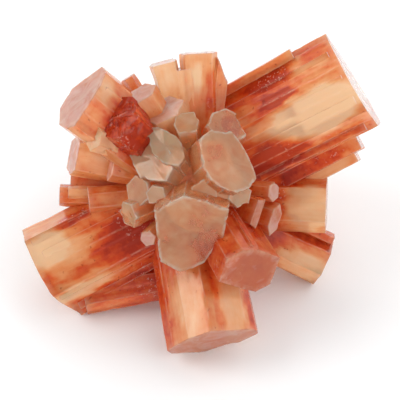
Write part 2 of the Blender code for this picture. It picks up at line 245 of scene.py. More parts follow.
@dataclass(frozen=True)
class Crystal:
    """One crystal: the ends of its axis, its section, its colour and its growth."""

    name: str
    foot: Point
    tip: Point
    section: tuple[Corner, ...]
    tone: tuple[float, float] = (0.78, 0.42)
    foot_scale: float = 0.92
    growth: Growth = Growth.ORANGE
    host: str = ""
    host_length: float = 0.0
    offset: Point = (0.0, 0.0, 0.0)


@dataclass(frozen=True)
class Ridge:
    """A blade grown into a prism's side, given by its place in that prism's section."""

    parent: str
    across: float
    through: float
    short: float
    wide: float
    thick: float
    start: float = 0.35


@dataclass(frozen=True)
class Stain:
    """A redder (positive) or creamier (negative) patch on one crystal.

    The patch lies back from the crystal's end, at a place across its section, and ends at
    its size along and across the crystal. Unless a size through the section is given, it
    reaches through the whole crystal.
    """

    crystal: str
    back: float
    across: float
    along_size: float
    across_size: float
    amount: float
    through: float = 0.0
    through_size: float = 1000.0


def clear(name: str, foot: Point, tip: Point, section: tuple[Corner, ...],
          tone: tuple[float, float]) -> Crystal:
    """A clear crystal with a given section."""
    return Crystal(name, foot, tip, section, tone, growth=Growth.CLEAR)


def seen(name: str, foot: Point, tip: Point, outline: tuple[Corner, ...],
         tone: tuple[float, float]) -> Crystal:
    """A clear crystal whose end face has a given outline in the photograph."""
    return clear(name, foot, tip, seen_section(foot, tip, outline), tone)


def ridges_of(parent: str, *places: tuple[float, ...]) -> tuple[Ridge, ...]:
    """Ridges of one prism, each given by the values that follow the parent in Ridge."""
    return tuple(Ridge(parent, *place) for place in places)


def stains_on(crystal: str, *places: tuple[float, ...]) -> tuple[Stain, ...]:
    """Patches on one crystal, each given by the values that follow the crystal in Stain."""
    return tuple(Stain(crystal, *place) for place in places)


MAIN_CRYSTALS: tuple[Crystal, ...] = (
    Crystal("heart", (0.3, -0.6, -8.0), (0.3, 0.4, 9.5), hexagon(12.0, 12.0), (0.8, 0.6)),
    Crystal("upper right prism", (-1.7, 2.9, -2.0), (24.5, 16.5, 2.8), UPPER_RIGHT_SECTION,
            (0.85, 0.56)),
    Crystal("lower left prism", (1.2, -1.3, 0.5), (-23.6, -14.2, -0.3), LOWER_LEFT_SECTION,
            (0.98, 0.44)),
    Crystal("bottom prism", (-1.9, -0.7, 0.5), (2.7, -24.2, 8.6), BOTTOM_SECTION, (0.95, 0.46)),
    Crystal("lower front prism", (3.0, -4.0, 4.0), (8.2, -13.0, 14.0), LOWER_FRONT_SECTION,
            (0.92, 0.76)),
    Crystal("upper left prism", (-1.0, 0.5, -0.5), (-17.6, 13.3, 9.0), UPPER_LEFT_SECTION,
            (0.90, 0.52)),
    Crystal("upper right blade", (2.5, -5.1, -3.0), (25.8, 7.0, 1.0), blade(3.2, 6.0),
            (0.9, 0.55)),
    Crystal("upper right lower blade", (3.4, -6.9, -5.5), (25.6, 4.6, -1.4), blade(1.9, 5.0),
            (0.9, 0.45)),
    Crystal("upper right top blade", (-2.1, 10.8, -2.0), (15.3, 20.6, 0.0), blade(2.0, 3.0),
            (0.8, 0.5)),
    Crystal("lower left second prism", (3.0, -13.6, -1.0), (-17.4, -17.2, -0.5),
            hexagon(6.4, 5.6), (0.95, 0.65)),
    Crystal("right prism", (0.9, -2.6, -2.0), (20.7, -3.2, -0.5), hexagon(8.9, 7.0, 0.6),
            (0.98, 0.52)),
    Crystal("lower right prism", (0.5, -3.0, -3.0), (20.4, -12.4, -5.2), hexagon(7.6, 6.5),
            (0.95, 0.58)),
    Crystal("lower right knob", (2.0, 0.5, -3.0), (21.7, -8.8, -5.0), hexagon(2.4, 4.0),
            (0.8, 0.7)),
    Crystal("top left fan", (-0.5, 2.5, 0.0), (-5.0, 19.1, 3.0), hexagon(4.6, 4.0, 0.8),
            (0.38, 0.14), 0.5),
    Crystal("top prism", (1.5, 3.0, 0.0), (0.5, 20.7, 2.0), hexagon(6.2, 5.4, 0.7),
            (0.58, 0.36), 0.7),
    Crystal("top right blade", (2.3, 3.0, -1.0), (3.9, 19.6, 0.8), TOP_RIGHT_SECTION,
            (0.75, 0.5), 0.8),
    Crystal("top middle lath", (0.3, 2.5, 0.0), (-2.0, 18.2, 2.4), hexagon(3.8, 4.2, 0.7),
            (0.38, 0.16), 0.7),
    Crystal("left prism", (0.0, 1.0, -2.0), (-19.0, 4.6, 3.5), hexagon(6.4, 6.0, 0.7),
            (0.8, 0.42)),
    Crystal("left low prism", (0.0, -2.0, -1.0), (-21.3, -1.6, -0.5), hexagon(3.7, 4.4, 0.7),
            (0.8, 0.62)),
    Crystal("left upper lath", (0.0, 0.0, -2.0), (-19.6, 0.6, -1.5), hexagon(3.4, 4.0),
            (0.85, 0.6)),
    Crystal("left small block", (0.0, -1.0, 0.0), (-19.9, -1.2, 1.6), hexagon(2.2, 2.0),
            (0.6, 0.3)),
    Crystal("left front prism", (0.0, -1.0, 2.0), (-16.6, -2.6, 3.2), hexagon(4.6, 3.6),
            (0.75, 0.55)),
    Crystal("left inner prism", (0.0, 0.0, 2.0), (-13.2, 2.6, 5.6), hexagon(4.2, 4.0),
            (0.8, 0.62)),
    Crystal("back left leg", (0.0, 0.0, -1.0), (-7.5, 1.5, -18.4), hexagon(11.0, 9.0)),
    Crystal("back right leg", (0.0, 0.0, -1.0), (10.0, 0.0, -17.8), hexagon(9.0, 8.0)),
    Crystal("back upper left prism", (0.0, 1.0, 0.0), (-12.0, 10.5, -12.5), hexagon(9.0, 8.0)),
    Crystal("back upper right prism", (0.0, 1.0, 0.0), (11.0, 8.0, -14.0), hexagon(9.0, 9.0)),
    Crystal("back top prism", (0.0, 1.0, 0.0), (1.0, 14.0, -13.0), hexagon(8.0, 8.0)),
    Crystal("back left prism", (0.0, 0.0, 0.0), (-17.0, 1.0, -9.0), hexagon(8.0, 7.0)),
    Crystal("back right prism", (0.0, 0.0, 0.0), (17.0, 0.0, -9.5), hexagon(7.0, 7.0)),
    Crystal("underside prism", (0.0, -1.0, -1.0), (-1.0, -9.5, -8.5), hexagon(8.0, 8.0)),
    Crystal("back small prism", (0.0, 1.0, 0.0), (-8.2, 13.6, -6.0), hexagon(5.0, 5.0)),
    Crystal("back low prism", (0.5, -1.0, -2.0), (1.6, -3.4, -13.6), hexagon(6.0, 5.0)),
    Crystal("back low left prism", (0.0, -1.0, -1.0), (-13.6, -3.4, -8.2), hexagon(5.2, 4.6)),
    Crystal("back high right prism", (0.0, 1.0, -1.0), (18.2, 7.4, -7.2), hexagon(6.0, 5.4)),
    Crystal("back crown prism", (0.5, 1.0, -1.0), (6.0, 12.2, -9.0), hexagon(5.0, 4.6)),
    Crystal("back high left prism", (0.0, 1.0, -1.0), (-16.0, 7.6, -5.4), hexagon(5.6, 5.0)),
    Crystal("back small left leg", (-0.5, 0.0, -2.0), (-13.2, -0.4, -13.0), hexagon(3.6, 3.4)),
    Crystal("back small right prism", (0.5, 0.0, -2.0), (14.6, -3.0, -11.0),
            hexagon(4.0, 3.6)),
    Crystal("brown tip", (-2.0, 3.0, 1.0), (-10.5, 16.8, 3.0), hexagon(2.6, 3.0), (0.7, 0.6)),
    Crystal("cream lump", (-3.0, 3.0, 2.0), (-13.5, 16.3, 5.5), hexagon(2.4, 2.4), (0.6, 0.15)),
    Crystal("upper left small prism", (-2.0, 4.0, 2.0), (-8.2, 14.1, 9.0), hexagon(5.2, 4.6),
            (0.55, 0.42)),
    Crystal("upper cream prism", (-1.0, 3.0, 2.0), (-5.0, 11.5, 8.5), hexagon(7.5, 6.0),
            (0.35, 0.15)),
    Crystal("upper left broken core", (-6.0, 5.0, 4.0), (-12.2, 10.4, 11.4),
            hexagon(8.2, 8.6, 0.55), (1.1, 1.04)),
    Crystal("upper left broken step", (-4.0, 3.0, 5.0), (-10.6, 8.2, 10.7),
            hexagon(4.6, 4.2), (1.1, 1.1)),
    Crystal("upper left cream wedge", (-8.0, 5.0, 4.0), (-15.6, 7.2, 11.6),
            hexagon(4.4, 3.6), (0.4, 0.05)),
    Crystal("right small prism", (2.0, -0.5, 2.0), (12.2, -1.1, 8.5), hexagon(3.4, 3.0),
            (0.8, 0.65)),
    Crystal("right slender plate", (2.5, -2.0, 3.0), (9.6, -4.4, 11.0), blade(5.0, 1.6),
            (0.8, 0.6)),
    Crystal("right corner plate", (2.0, -2.0, 1.0), (12.4, -5.4, 8.0), hexagon(5.4, 3.0),
            (0.85, 0.6)),
    Crystal("front left small prism", (-1.0, -2.0, 2.0), (-7.3, -8.3, 9.5), hexagon(2.8, 3.4),
            (0.7, 0.5)),
    seen("clear front prism", (0.0, -2.2, 2.0), (-0.8, -7.4, 15.5), CLEAR_FRONT_OUTLINE,
         (0.55, 0.38)),
    seen("clear upper prism", (1.5, 1.0, 3.0), (5.2, 4.1, 14.0), CLEAR_UPPER_OUTLINE,
         (0.48, 0.32)),
    seen("clear left prism", (-1.5, 1.0, 2.0), (-7.0, 4.2, 11.4), CLEAR_LEFT_OUTLINE,
         (0.30, 0.04)),
    seen("clear left front prism", (-1.0, 1.5, 3.0), (-4.4, 6.0, 13.0), CLEAR_LEFT_FRONT_OUTLINE,
         (0.26, 0.04)),
    seen("clear top prism", (1.5, 4.0, 3.0), (4.4, 9.3, 11.9), CLEAR_TOP_OUTLINE,
         (0.60, 0.48)),
    clear("clear small top prism", (-0.5, 4.0, 4.0), (-1.3, 9.5, 11.6), hexagon(4.1, 4.1, 0.7),
          (0.42, 0.28)),
    clear("clear middle mass", (0.0, 0.5, 2.0), (-0.9, 2.6, 10.2), hexagon(7.4, 7.0),
          (0.58, 0.50)),
    clear("clear far left prism", (-2.0, -1.0, 3.0), (-10.3, -4.6, 9.0), hexagon(4.6, 4.2),
          (0.45, 0.12)),
    clear("clear far left upper prism", (-2.0, 0.0, 3.0), (-8.8, -1.0, 10.0),
          hexagon(5.0, 4.8), (0.50, 0.34)),
    clear("pale middle lump", (-1.0, 0.0, 3.0), (-6.0, -1.6, 12.4), hexagon(3.4, 3.4),
          (0.15, 0.0)),
    clear("pale lump", (1.0, -0.5, 4.0), (1.5, -1.2, 14.2), hexagon(4.6, 3.6),
          (0.32, 0.14)),
    clear("pale right lump", (1.5, -0.5, 4.0), (3.9, -1.3, 13.6), hexagon(4.0, 3.6),
          (0.35, 0.20)),
    clear("pale far right lump", (2.0, -0.5, 4.0), (6.9, -1.6, 12.4), hexagon(4.2, 3.8),
          (0.38, 0.16)),
)

FACE_PALENESS: dict[str, float] = {
    "upper right prism": 1.0, "upper left prism": 0.28, "bottom prism": 0.05,
    "lower front prism": 0.0, "top prism": 0.5, "top left fan": 0.5, "lower left prism": 0.3,
    "upper left small prism": 0.3, "upper cream prism": 0.35, "upper left cream wedge": 1.0,
    "right prism": 0.6, "left prism": 0.2, "right slender plate": 0.15, "right corner plate": 0.15,
    "upper left broken core": 0.0, "upper left broken step": 0.0, "pale middle lump": 1.0,
    "pale lump": 0.9, "pale far right lump": 0.8, "clear far left prism": 0.9,
    "clear left prism": 0.8, "clear left front prism": 0.9,
}
USUAL_PALENESS = 0.4
BROKEN_CRYSTALS = ("upper left broken core", "upper left broken step", "upper left cream wedge")

RIDGES: tuple[Ridge, ...] = (
    *ridges_of("upper right prism", (-3.2, 5.45, 0.5, 1.8, 1.3), (0.9, 3.9, 0.8, 1.3, 1.3),
               (4.9, 0.5, 1.4, 1.6, 1.2), (-7.5, 2.7, 1.2, 1.4, 1.8), (2.0, -7.2, 2.0, 2.4, 1.4),
               (-2.4, -7.3, 4.0, 1.6, 1.4)),
    *ridges_of("lower left prism", (4.3, 4.2, 0.9, 1.2, 1.1), (-5.6, 3.7, 0.8, 1.3, 1.0),
               (-3.1, 4.0, 1.6, 1.6, 1.1), (1.0, 4.35, 1.0, 1.2, 1.0), (6.7, 1.5, 2.8, 1.5, 1.6),
               (-2.0, -5.4, 3.0, 2.2, 1.2)),
    *ridges_of("lower front prism", (1.9, 3.2, 0.8, 1.5, 1.2, 0.2)),
    *ridges_of("upper left prism", (-3.4, 3.0, 1.0, 1.6, 1.3)),
    *ridges_of("back left leg", (1.2, 4.1, 2.0, 2.0, 1.4), (-1.6, -4.2, 1.2, 1.8, 1.4),
               (3.6, -2.5, 2.2, 1.8, 1.8)),
    *ridges_of("back right leg", (0.8, -3.7, 1.5, 1.8, 1.4), (-1.2, 3.7, 1.4, 1.6, 1.4)),
    *ridges_of("back upper left prism", (0.8, -3.7, 1.0, 2.0, 1.4), (-1.8, 3.6, 1.2, 1.4, 1.6)),
    *ridges_of("back upper right prism", (1.2, -4.2, 1.6, 1.8, 1.4), (-0.6, 4.2, 0.8, 1.6, 1.4)),
    *ridges_of("back top prism", (0.4, -3.7, 1.2, 1.8, 1.4)),
    *ridges_of("back left prism", (0.6, -3.2, 1.4, 1.6, 1.2)),
    *ridges_of("back right prism", (-0.4, -3.2, 1.0, 1.6, 1.2)),
    *ridges_of("back left leg", (-0.8, 0.6, -0.25, 5.8, 4.2, 0.6)),
    *ridges_of("back upper left prism", (0.6, 0.4, -0.5, 4.6, 3.6, 0.6)),
    *ridges_of("back upper right prism", (-0.5, -0.7, -0.4, 4.8, 4.2, 0.6)),
    *ridges_of("back top prism", (0.5, -0.4, -0.5, 4.0, 3.4, 0.6)),
    *ridges_of("back right prism", (-0.4, 0.5, -0.4, 3.4, 3.0, 0.6)),
)

STAINS: tuple[Stain, ...] = (
    *stains_on("upper right prism", (6.6, -2.0, 7.8, 3.7, -0.78), (14.5, -0.8, 4.0, 1.8, -0.35),
               (11.6, 2.8, 3.0, 1.3, 0.72), (12.0, 6.2, 4.2, 1.7, 0.48), (4.1, 6.8, 2.4, 0.8, 0.34),
               (5.4, 4.9, 3.6, 0.7, -0.25), (15.5, -5.6, 6.0, 2.4, 0.50),
               (5.0, -7.2, 5.0, 0.9, 0.20), (18.0, 2.6, 2.6, 2.0, -0.30)),
    *stains_on("upper right blade", (9.0, 0.0, 7.0, 2.0, 0.35)),
    *stains_on("upper right lower blade", (5.0, 0.0, 4.0, 2.0, -0.2)),
    *stains_on("lower left prism", (2.4, -3.6, 3.8, 2.6, -0.62), (7.9, -5.9, 3.2, 0.9, 0.42),
               (14.0, 0.6, 5.5, 3.6, 0.40), (0.4, 1.6, 1.2, 3.0, 0.25),
               (6.5, -1.2, 5.5, 1.8, -0.20), (6.0, 2.2, 4.0, 0.8, 0.25),
               (4.5, 4.7, 5.5, 1.0, -0.42), (8.0, 7.2, 8.0, 1.5, 0.30)),
    *stains_on("bottom prism", (4.5, 4.0, 6.0, 1.8, -0.30), (5.0, 1.9, 7.0, 0.5, 0.15),
               (6.0, -2.2, 6.0, 2.0, -0.22), (5.0, -6.6, 8.0, 1.0, 0.32),
               (3.0, 7.0, 5.0, 0.8, 0.45)),
    *stains_on("upper left prism", (8.5, -1.0, 5.2, 3.6, 0.55), (8.0, 4.8, 8.0, 1.2, -0.30),
               (1.2, -3.5, 1.6, 2.0, -0.40)),
    *stains_on("right prism", (2.6, -0.6, 3.8, 4.2, -0.42), (2.0, 3.4, 6.0, 0.8, 0.30),
               (12.0, 0.0, 5.0, 5.0, 0.30)),
    *stains_on("lower right prism", (3.2, -1.7, 5.2, 2.3, -0.46), (5.0, 2.8, 8.0, 1.2, 0.40),
               (11.5, 0.0, 4.0, 4.0, 0.35)),
    *stains_on("left prism", (6.0, 0.5, 5.0, 2.0, -0.20)),
    *stains_on("top prism", (4.0, 0.5, 2.5, 1.0, -0.35), (6.5, -1.8, 4.0, 1.0, 0.30)),
    *stains_on("clear front prism", (1.2, 3.4, 3.5, 2.2, 0.38, -1.9, 3.0),
               (0.5, -2.6, 3.0, 2.6, -0.22, 3.4, 2.4), (0.8, -1.2, 3.0, 2.6, -0.30, -5.6, 1.5),
               (0.3, 1.0, 3.0, 2.4, 0.14, 2.6, 2.2)),
    *stains_on("clear upper prism", (0.3, 1.9, 3.0, 1.8, 0.30, 0.9, 1.5),
               (0.3, -2.8, 3.0, 2.6, -0.15, 1.6, 2.4)),
    *stains_on("clear left prism", (0.5, 0.4, 3.0, 1.5, 0.30, 2.6, 1.5)),
    *stains_on("clear left front prism", (0.5, 0.4, 3.0, 1.4, -0.20, -1.6, 1.8)),
    *stains_on("clear top prism", (0.5, -1.0, 3.0, 1.8, 0.35, -0.6, 1.8)),
    *stains_on("clear far left prism", (1.5, 1.0, 3.0, 1.6, 0.25)),
)

# How the tones run: where a crystal starts to pale, over which share of its length, how crisp
# the patches are, and the waves (size, turns along, turns across, start) that bend their edges.
TONE_START = 0.25
TONE_SPAN = 0.6
STAIN_CRISPNESS = 4
WARP_ACROSS = 0.6
WARPS = ((0.30, 1.3, 2.1, 0.4), (0.22, -0.8, 3.6, 1.9), (0.15, 2.9, 5.3, 3.1))


def leaning_to_world(points: np.ndarray) -> np.ndarray:
    """Turn leaning-frame millimetres into world metres.

    Args:
        points: array of (right, up, toward) rows.

    Returns:
        Array of (x, y, z) rows in metres.
    """
    lean = math.radians(LEAN_DEG)
    right, up, toward = points[:, 0], points[:, 1], points[:, 2]
    x = right + HEART_RIGHT
    y = up * math.sin(lean) - toward * math.cos(lean) + HEART_BACK
    z = up * math.cos(lean) + toward * math.sin(lean) + HEART_HEIGHT
    return np.stack([x, y, z], axis=1) * MM


def ridge_crystal(ridge: Ridge, tones: tuple[float, float]) -> Crystal:
    """Turn a ridge into a crystal that runs along its parent, grown a little into its side.

    Args:
        ridge: the ridge's place and size.
        tones: the parent's tones at its foot and end.

    Returns:
        The ridge as a crystal.
    """
    parent = next(c for c in MAIN_CRYSTALS if c.name == ridge.parent)
    length, along, wide, thick = axis_directions(parent.foot, parent.tip)
    keep = 1.0
    if ridge.short > 0.0 and ridge.through > FRONT_SIDE:
        keep = 1.0 - RIDGE_SINK / math.hypot(ridge.across, ridge.through)
    side = wide * (ridge.across * keep) + thick * (ridge.through * keep)
    start = np.array(parent.foot) + along * (length * ridge.start)
    small = parent.foot_scale + (1.0 - parent.foot_scale) * ridge.start
    tip = np.array(parent.foot) + along * (length - ridge.short) + side
    return Crystal(ridge.parent + " ridge", tuple(start + side * small), tuple(tip),
                   blade(ridge.wide, ridge.thick), tones, growth=parent.growth,
                   host=parent.name, host_length=length,
                   offset=(ridge.across * keep, ridge.through * keep, length * ridge.start))


# How far the grain shifts from one crystal to the next, the least half width that the rims are
# worked out with, and the shortest length that a direction is divided by.
GRAIN_STEP = 37.0
LEAST_HALF = 0.8
LEAST_LENGTH = 1e-6


@dataclass
class PrismMesh:
    """Closed fine mesh of one crystal, with the values that its relief and colour read."""

    crystal: Crystal
    number: int
    paleness: float
    broken: bool = False
    pitch: float = 0.26
    ring_gap: float = 0.9
    broken_gap: float = 0.30
    rim: float = 0.10
    rim_band: float = 0.10
    ease: float = 2.0
    cap_rings: int = 4
    broken_rings: int = 10

    def outline(self) -> tuple[np.ndarray, np.ndarray, np.ndarray]:
        """Sample the section at the mesh's pitch.

        Returns:
            Points (across, through, rise), a corner flag for each, and the running length.
        """
        rows: list[np.ndarray] = []
        corner: list[float] = []
        section = np.array(self.crystal.section)
        for i, here in enumerate(section):
            there = section[(i + 1) % len(section)]
            steps = max(2, round(float(np.linalg.norm(there[:2] - here[:2])) / self.pitch))
            for k in range(steps):
                rows.append(here + (there - here) * (k / steps))
                corner.append(1.0 if k == 0 else 0.0)
        pts = np.array(rows)
        gaps = np.linalg.norm(np.roll(pts[:, :2], -1, axis=0) - pts[:, :2], axis=1)
        return pts, np.array(corner), np.concatenate([[0.0], np.cumsum(gaps)])

    def rings(self, length: float, half: float) -> list[tuple[float, float, bool, float]]:
        """Lay out the rings from the foot to the middle of the end face.

        Args:
            length: the crystal's length.
            half: half of its width.

        Returns:
            For each ring its share of the length, its scale, whether it lies on the end face
            and how worn it is.
        """
        gap = self.broken_gap if self.broken else self.ring_gap
        body = np.linspace(0.0, 1.0 - self.rim / length, max(3, round(length / gap)))
        made = [(float(t), 1.0, False, 0.0) for t in body[:-1]]
        inner = 1.0 - (self.rim + self.rim_band) / half
        made.append((float(body[-1]), 1.0, False, 1.0))
        made.append((1.0, 1.0 - self.rim / half, True, 1.0))
        made.append((1.0, inner, True, 1.0))
        count = self.broken_rings if self.broken else self.cap_rings
        return made + [(1.0, inner * (1.0 - k / count), True, 0.0) for k in range(1, count)]

    def build(self, stains: tuple[Stain, ...]) -> bpy.types.Object:
        """Make the crystal's mesh with its attributes.

        Args:
            stains: the patches of colour that lie on this crystal or its host.

        Returns:
            The new object, not yet roughened.
        """
        crystal = self.crystal
        length, along, wide, thick = axis_directions(crystal.foot, crystal.tip)
        pts, corner, run = self.outline()
        count = len(pts)
        middle = pts[:, :2].mean(axis=0)
        reach = length + self.eased(pts[:, 2])
        half = max(LEAST_HALF, float(np.linalg.norm(pts[:, :2] - middle, axis=1).mean()))
        turn = self.winding(pts)
        normal = self.normals(pts, turn)
        swing = normal[:, :1] * wide + normal[:, 1:] * thick
        rings = self.rings(length, half)
        ends = [(0.0, 0.0, False, 0.0), (1.0, 0.0, True, 0.0)]
        rows: list[np.ndarray] = []
        for share, scale, on_cap, wear in rings + ends:
            single = scale == 0.0
            section = middle + (pts[:, :2] - middle) * scale
            size = crystal.foot_scale + (1.0 - crystal.foot_scale) * share
            a = (reach.mean() + (reach - reach.mean()) * scale) if on_cap else reach * share
            side = section * size
            place = np.array(crystal.foot) + along * a[:, None] + wide * side[:, :1] + thick * side[:, 1:]
            push = swing * (scale if on_cap else 1.0) * (0.0 if share == 0.0 else 1.0)
            if self.broken and on_cap:
                push = push + along
            worn = np.maximum(wear, corner if (not on_cap or wear > 0.0) else 0.0) * np.ones(count)
            # Mask of the pale rim colour, which is partly wear and partly a painted edge highlight.
            edge = worn * (0.0 if self.broken else 1.0)
            if self.broken:
                worn = np.ones(count)
            host = side + np.array(crystal.offset[:2])
            host_a = a + crystal.offset[2]
            red = self.redness(host_a, host, stains, crystal.host_length or length)
            row = np.concatenate([
                place, push, np.stack([run[:count], a, np.full(count, float(self.number))], axis=1),
                np.stack([host[:, 0] + GRAIN_STEP * self.number, host[:, 1], host_a], axis=1),
                np.stack([np.full(count, self.paleness), red, edge, worn], axis=1)], axis=1)
            rows.append(row[:1] if single else row)
        faces, caps = self.faces(rings, count, turn > 0.0)
        return self.finished(np.concatenate(rows), faces, caps)

    def finished(self, data: np.ndarray, faces: list[tuple[int, ...]],
                 caps: list[float]) -> bpy.types.Object:
        """Make the object and store the attributes that its relief and colour read.

        Args:
            data: one row for each point: place, push, strand, grain, zone and wear.
            faces: the points of each face.
            caps: a flag for each face corner that says whether it is on the end face.

        Returns:
            The new object.
        """
        mesh = bpy.data.meshes.new(self.crystal.name)
        mesh.from_pydata(leaning_to_world(data[:, :3]).tolist(), [], faces)
        corners = np.concatenate([np.array(face) for face in faces])
        self.mark(mesh, "out", "FLOAT_VECTOR", "POINT", self.turned(data[:, 3:6]))
        self.mark(mesh, "strand", "FLOAT_VECTOR", "POINT", data[:, 6:9])
        self.mark(mesh, "worn", "FLOAT", "POINT", data[:, 15])
        self.mark(mesh, "grain", "FLOAT_VECTOR", "CORNER", data[corners, 9:12] * MM)
        self.mark(mesh, "zone", "FLOAT_VECTOR", "CORNER", data[corners, 12:15])
        self.mark(mesh, "cap", "FLOAT", "CORNER", np.array(caps) * (0.0 if self.broken else 1.0))
        piece = bpy.data.objects.new(self.crystal.name, mesh)
        bpy.context.scene.collection.objects.link(piece)
        return piece

    def normals(self, pts: np.ndarray, turn: float) -> np.ndarray:
        """Outward directions across and through the section, one at each of its points."""
        normal = np.stack([np.roll(pts[:, 1], -1) - np.roll(pts[:, 1], 1),
                           np.roll(pts[:, 0], 1) - np.roll(pts[:, 0], -1)], axis=1)
        return normal * (turn / np.maximum(np.linalg.norm(normal, axis=1), LEAST_LENGTH)[:, None])

    def eased(self, rises: np.ndarray) -> np.ndarray:
        """Smooth the end face's rises around the section, as wear would."""
        window = max(1, round(self.ease / self.pitch))
        shifts = range(-(window // 2), window // 2 + 1)
        return np.mean([np.roll(rises, shift) for shift in shifts], axis=0)

    def winding(self, pts: np.ndarray) -> float:
        """1.0 where the section's points run counter-clockwise, -1.0 where they run clockwise."""
        twice = pts[:, 0] * np.roll(pts[:, 1], -1) - np.roll(pts[:, 0], -1) * pts[:, 1]
        return 1.0 if float(twice.sum()) > 0.0 else -1.0

    def faces(self, rings: list[tuple[float, float, bool, float]], count: int,
              forward: bool) -> tuple[list[tuple[int, ...]], list[float]]:
        """Join the rings with faces that point outwards.

        Args:
            rings: the crystal's rings.
            count: points in each ring.
            forward: whether the rings run counter-clockwise.

        Returns:
            The faces, and a flag for each face corner that says whether it is on the end face.
        """
        faces: list[tuple[int, ...]] = []
        caps: list[float] = []
        last = (len(rings) - 1) * count
        foot, top = len(rings) * count, len(rings) * count + 1
        for i in range(count):
            k = (i + 1) % count
            for j in range(len(rings) - 1):
                low, high = j * count, (j + 1) * count
                faces.append((low + i, low + k, high + k, high + i))
                caps += [1.0 if rings[j + 1][2] else 0.0] * 4
            faces.append((i, foot, k))
            faces.append((last + i, last + k, top))
            caps += [0.0] * 3 + [1.0] * 3
        return (faces if forward else [face[::-1] for face in faces]), caps

    def redness(self, along: np.ndarray, section: np.ndarray, stains: tuple[Stain, ...],
                length: float) -> np.ndarray:
        """Redness at points of the crystal, from its tones and its patches.

        Args:
            along: distance of each point from the host's foot.
            section: place of each point across and through the host's section.
            stains: the patches on this crystal.
            length: the host's length.

        Returns:
            One redness for each point, from cream at 0 to deep red at 1.
        """
        foot_tone, end_tone = self.crystal.tone
        across, through = section[:, 0], section[:, 1]
        ease = np.clip((along / length - TONE_START) / TONE_SPAN, 0.0, 1.0)
        red = foot_tone + (end_tone - foot_tone) * ease * ease * (3.0 - 2.0 * ease)
        warp = sum(size * np.sin(a * along + b * across + turn) for size, a, b, turn in WARPS)
        for stain in stains:
            da = (length - along - stain.back + warp) / stain.along_size
            dc = (across - stain.across + warp * WARP_ACROSS) / stain.across_size
            dt = (through - stain.through) / stain.through_size
            red = red + stain.amount * np.exp(-((da * da + dc * dc + dt * dt) ** STAIN_CRISPNESS))
        return red

    def turned(self, directions: np.ndarray) -> np.ndarray:
        """Turn leaning-frame directions into world directions."""
        origin = leaning_to_world(np.zeros((1, 3)))
        return (leaning_to_world(directions) - origin) / MM

    def mark(self, mesh: bpy.types.Mesh, name: str, kind: str, domain: str,
             values: np.ndarray) -> None:
        """Store one attribute on a mesh.

        Args:
            mesh: the mesh to mark.
            name: the attribute's name.
            kind: the attribute's data type.
            domain: the attribute's domain.
            values: one row for each element.
        """
        layer = mesh.attributes.new(name, kind, domain)
        layer.data.foreach_set("vector" if kind == "FLOAT_VECTOR" else "value",
                               np.asarray(values, dtype=np.float32).ravel())


class NodeBench:
    """Small helper that adds and joins the nodes of one tree."""

    def __init__(self, tree: bpy.types.NodeTree) -> None:
        """Keep the tree that is worked on."""
        self.tree = tree

    def add(self, kind: str, inputs: dict[str, object], **values: object) -> bpy.types.Node:
        """Add a node, set its options and fill its inputs.

        Args:
            kind: the node's type name.
            inputs: value or socket for each named input.
            values: options to set on the node.

        Returns:
            The new node.
        """
        made = self.tree.nodes.new(kind)
        for name, value in values.items():
            setattr(made, name, value)
        for name, value in inputs.items():
            self.feed(made.inputs[int(name)] if name.isdigit() else made.inputs[name], value)
        return made

    def feed(self, slot: bpy.types.NodeSocket, value: object) -> None:
        """Join an input to a socket, or set its value."""
        if isinstance(value, bpy.types.NodeSocket):
            self.tree.links.new(value, slot)
        else:
            slot.default_value = value

    def math(self, operation: str, first: object, second: object = 0.0) -> bpy.types.NodeSocket:
        """Combine two values and return the result's socket."""
        return self.add("ShaderNodeMath", {"0": first, "1": second}, operation=operation).outputs[0]

    def span(self, value: object, reach: Range, to: tuple[object, object] = (0.0, 1.0),
             kind: str = "LINEAR") -> bpy.types.NodeSocket:
        """Map a value from one range to another and return the result's socket."""
        return self.add("ShaderNodeMapRange", {
            "Value": value, "From Min": reach[0], "From Max": reach[1], "To Min": to[0], "To Max": to[1],
        }, interpolation_type=kind).outputs[0]

    def centred(self, value: object) -> bpy.types.NodeSocket:
        """Take a half from a value and return the result's socket."""
        return self.math("SUBTRACT", value, 0.5)

    def product(self, *values: object) -> bpy.types.NodeSocket:
        """Multiply two or more values and return the result's socket."""
        result = values[0]
        for value in values[1:]:
            result = self.math("MULTIPLY", result, value)
        return result

    def scaled(self, vector: object, factor: object) -> bpy.types.NodeSocket:
        """Scale a vector by a value and return the result's socket."""
        return self.add("ShaderNodeVectorMath", {"0": vector, "Scale": factor},
                        operation="SCALE").outputs[0]

    def named(self, name: str, kind: str) -> bpy.types.NodeSocket:
        """Read a named attribute in a geometry tree and return its socket."""
        return self.add("GeometryNodeInputNamedAttribute", {"Name": name},
                        data_type=kind).outputs["Attribute"]

    def noise(self, vector: object, scale: float, detail: float = 3.0,
              distortion: float = 0.0) -> bpy.types.NodeSocket:
        """Add a noise that reads a vector and return its value socket."""
        return self.add("ShaderNodeTexNoise", {
            "Vector": vector, "Scale": scale, "Detail": detail, "Distortion": distortion,
        }).outputs[0]

    def stretch(self, vector: object, factors: Point) -> bpy.types.NodeSocket:
        """Scale a vector by three factors and return the result's socket."""
        return self.add("ShaderNodeVectorMath", {"0": vector, "1": factors},
                        operation="MULTIPLY").outputs[0]

    def blend(self, share: object, first: object, second: object) -> bpy.types.NodeSocket:
        """Mix two colours by a share and return the result's socket."""
        made = self.add("ShaderNodeMix", {}, data_type="RGBA")
        for slot, value in ((made.inputs[0], share), (made.inputs[6], first), (made.inputs[7], second)):
            self.feed(slot, value)
        return made.outputs[2]


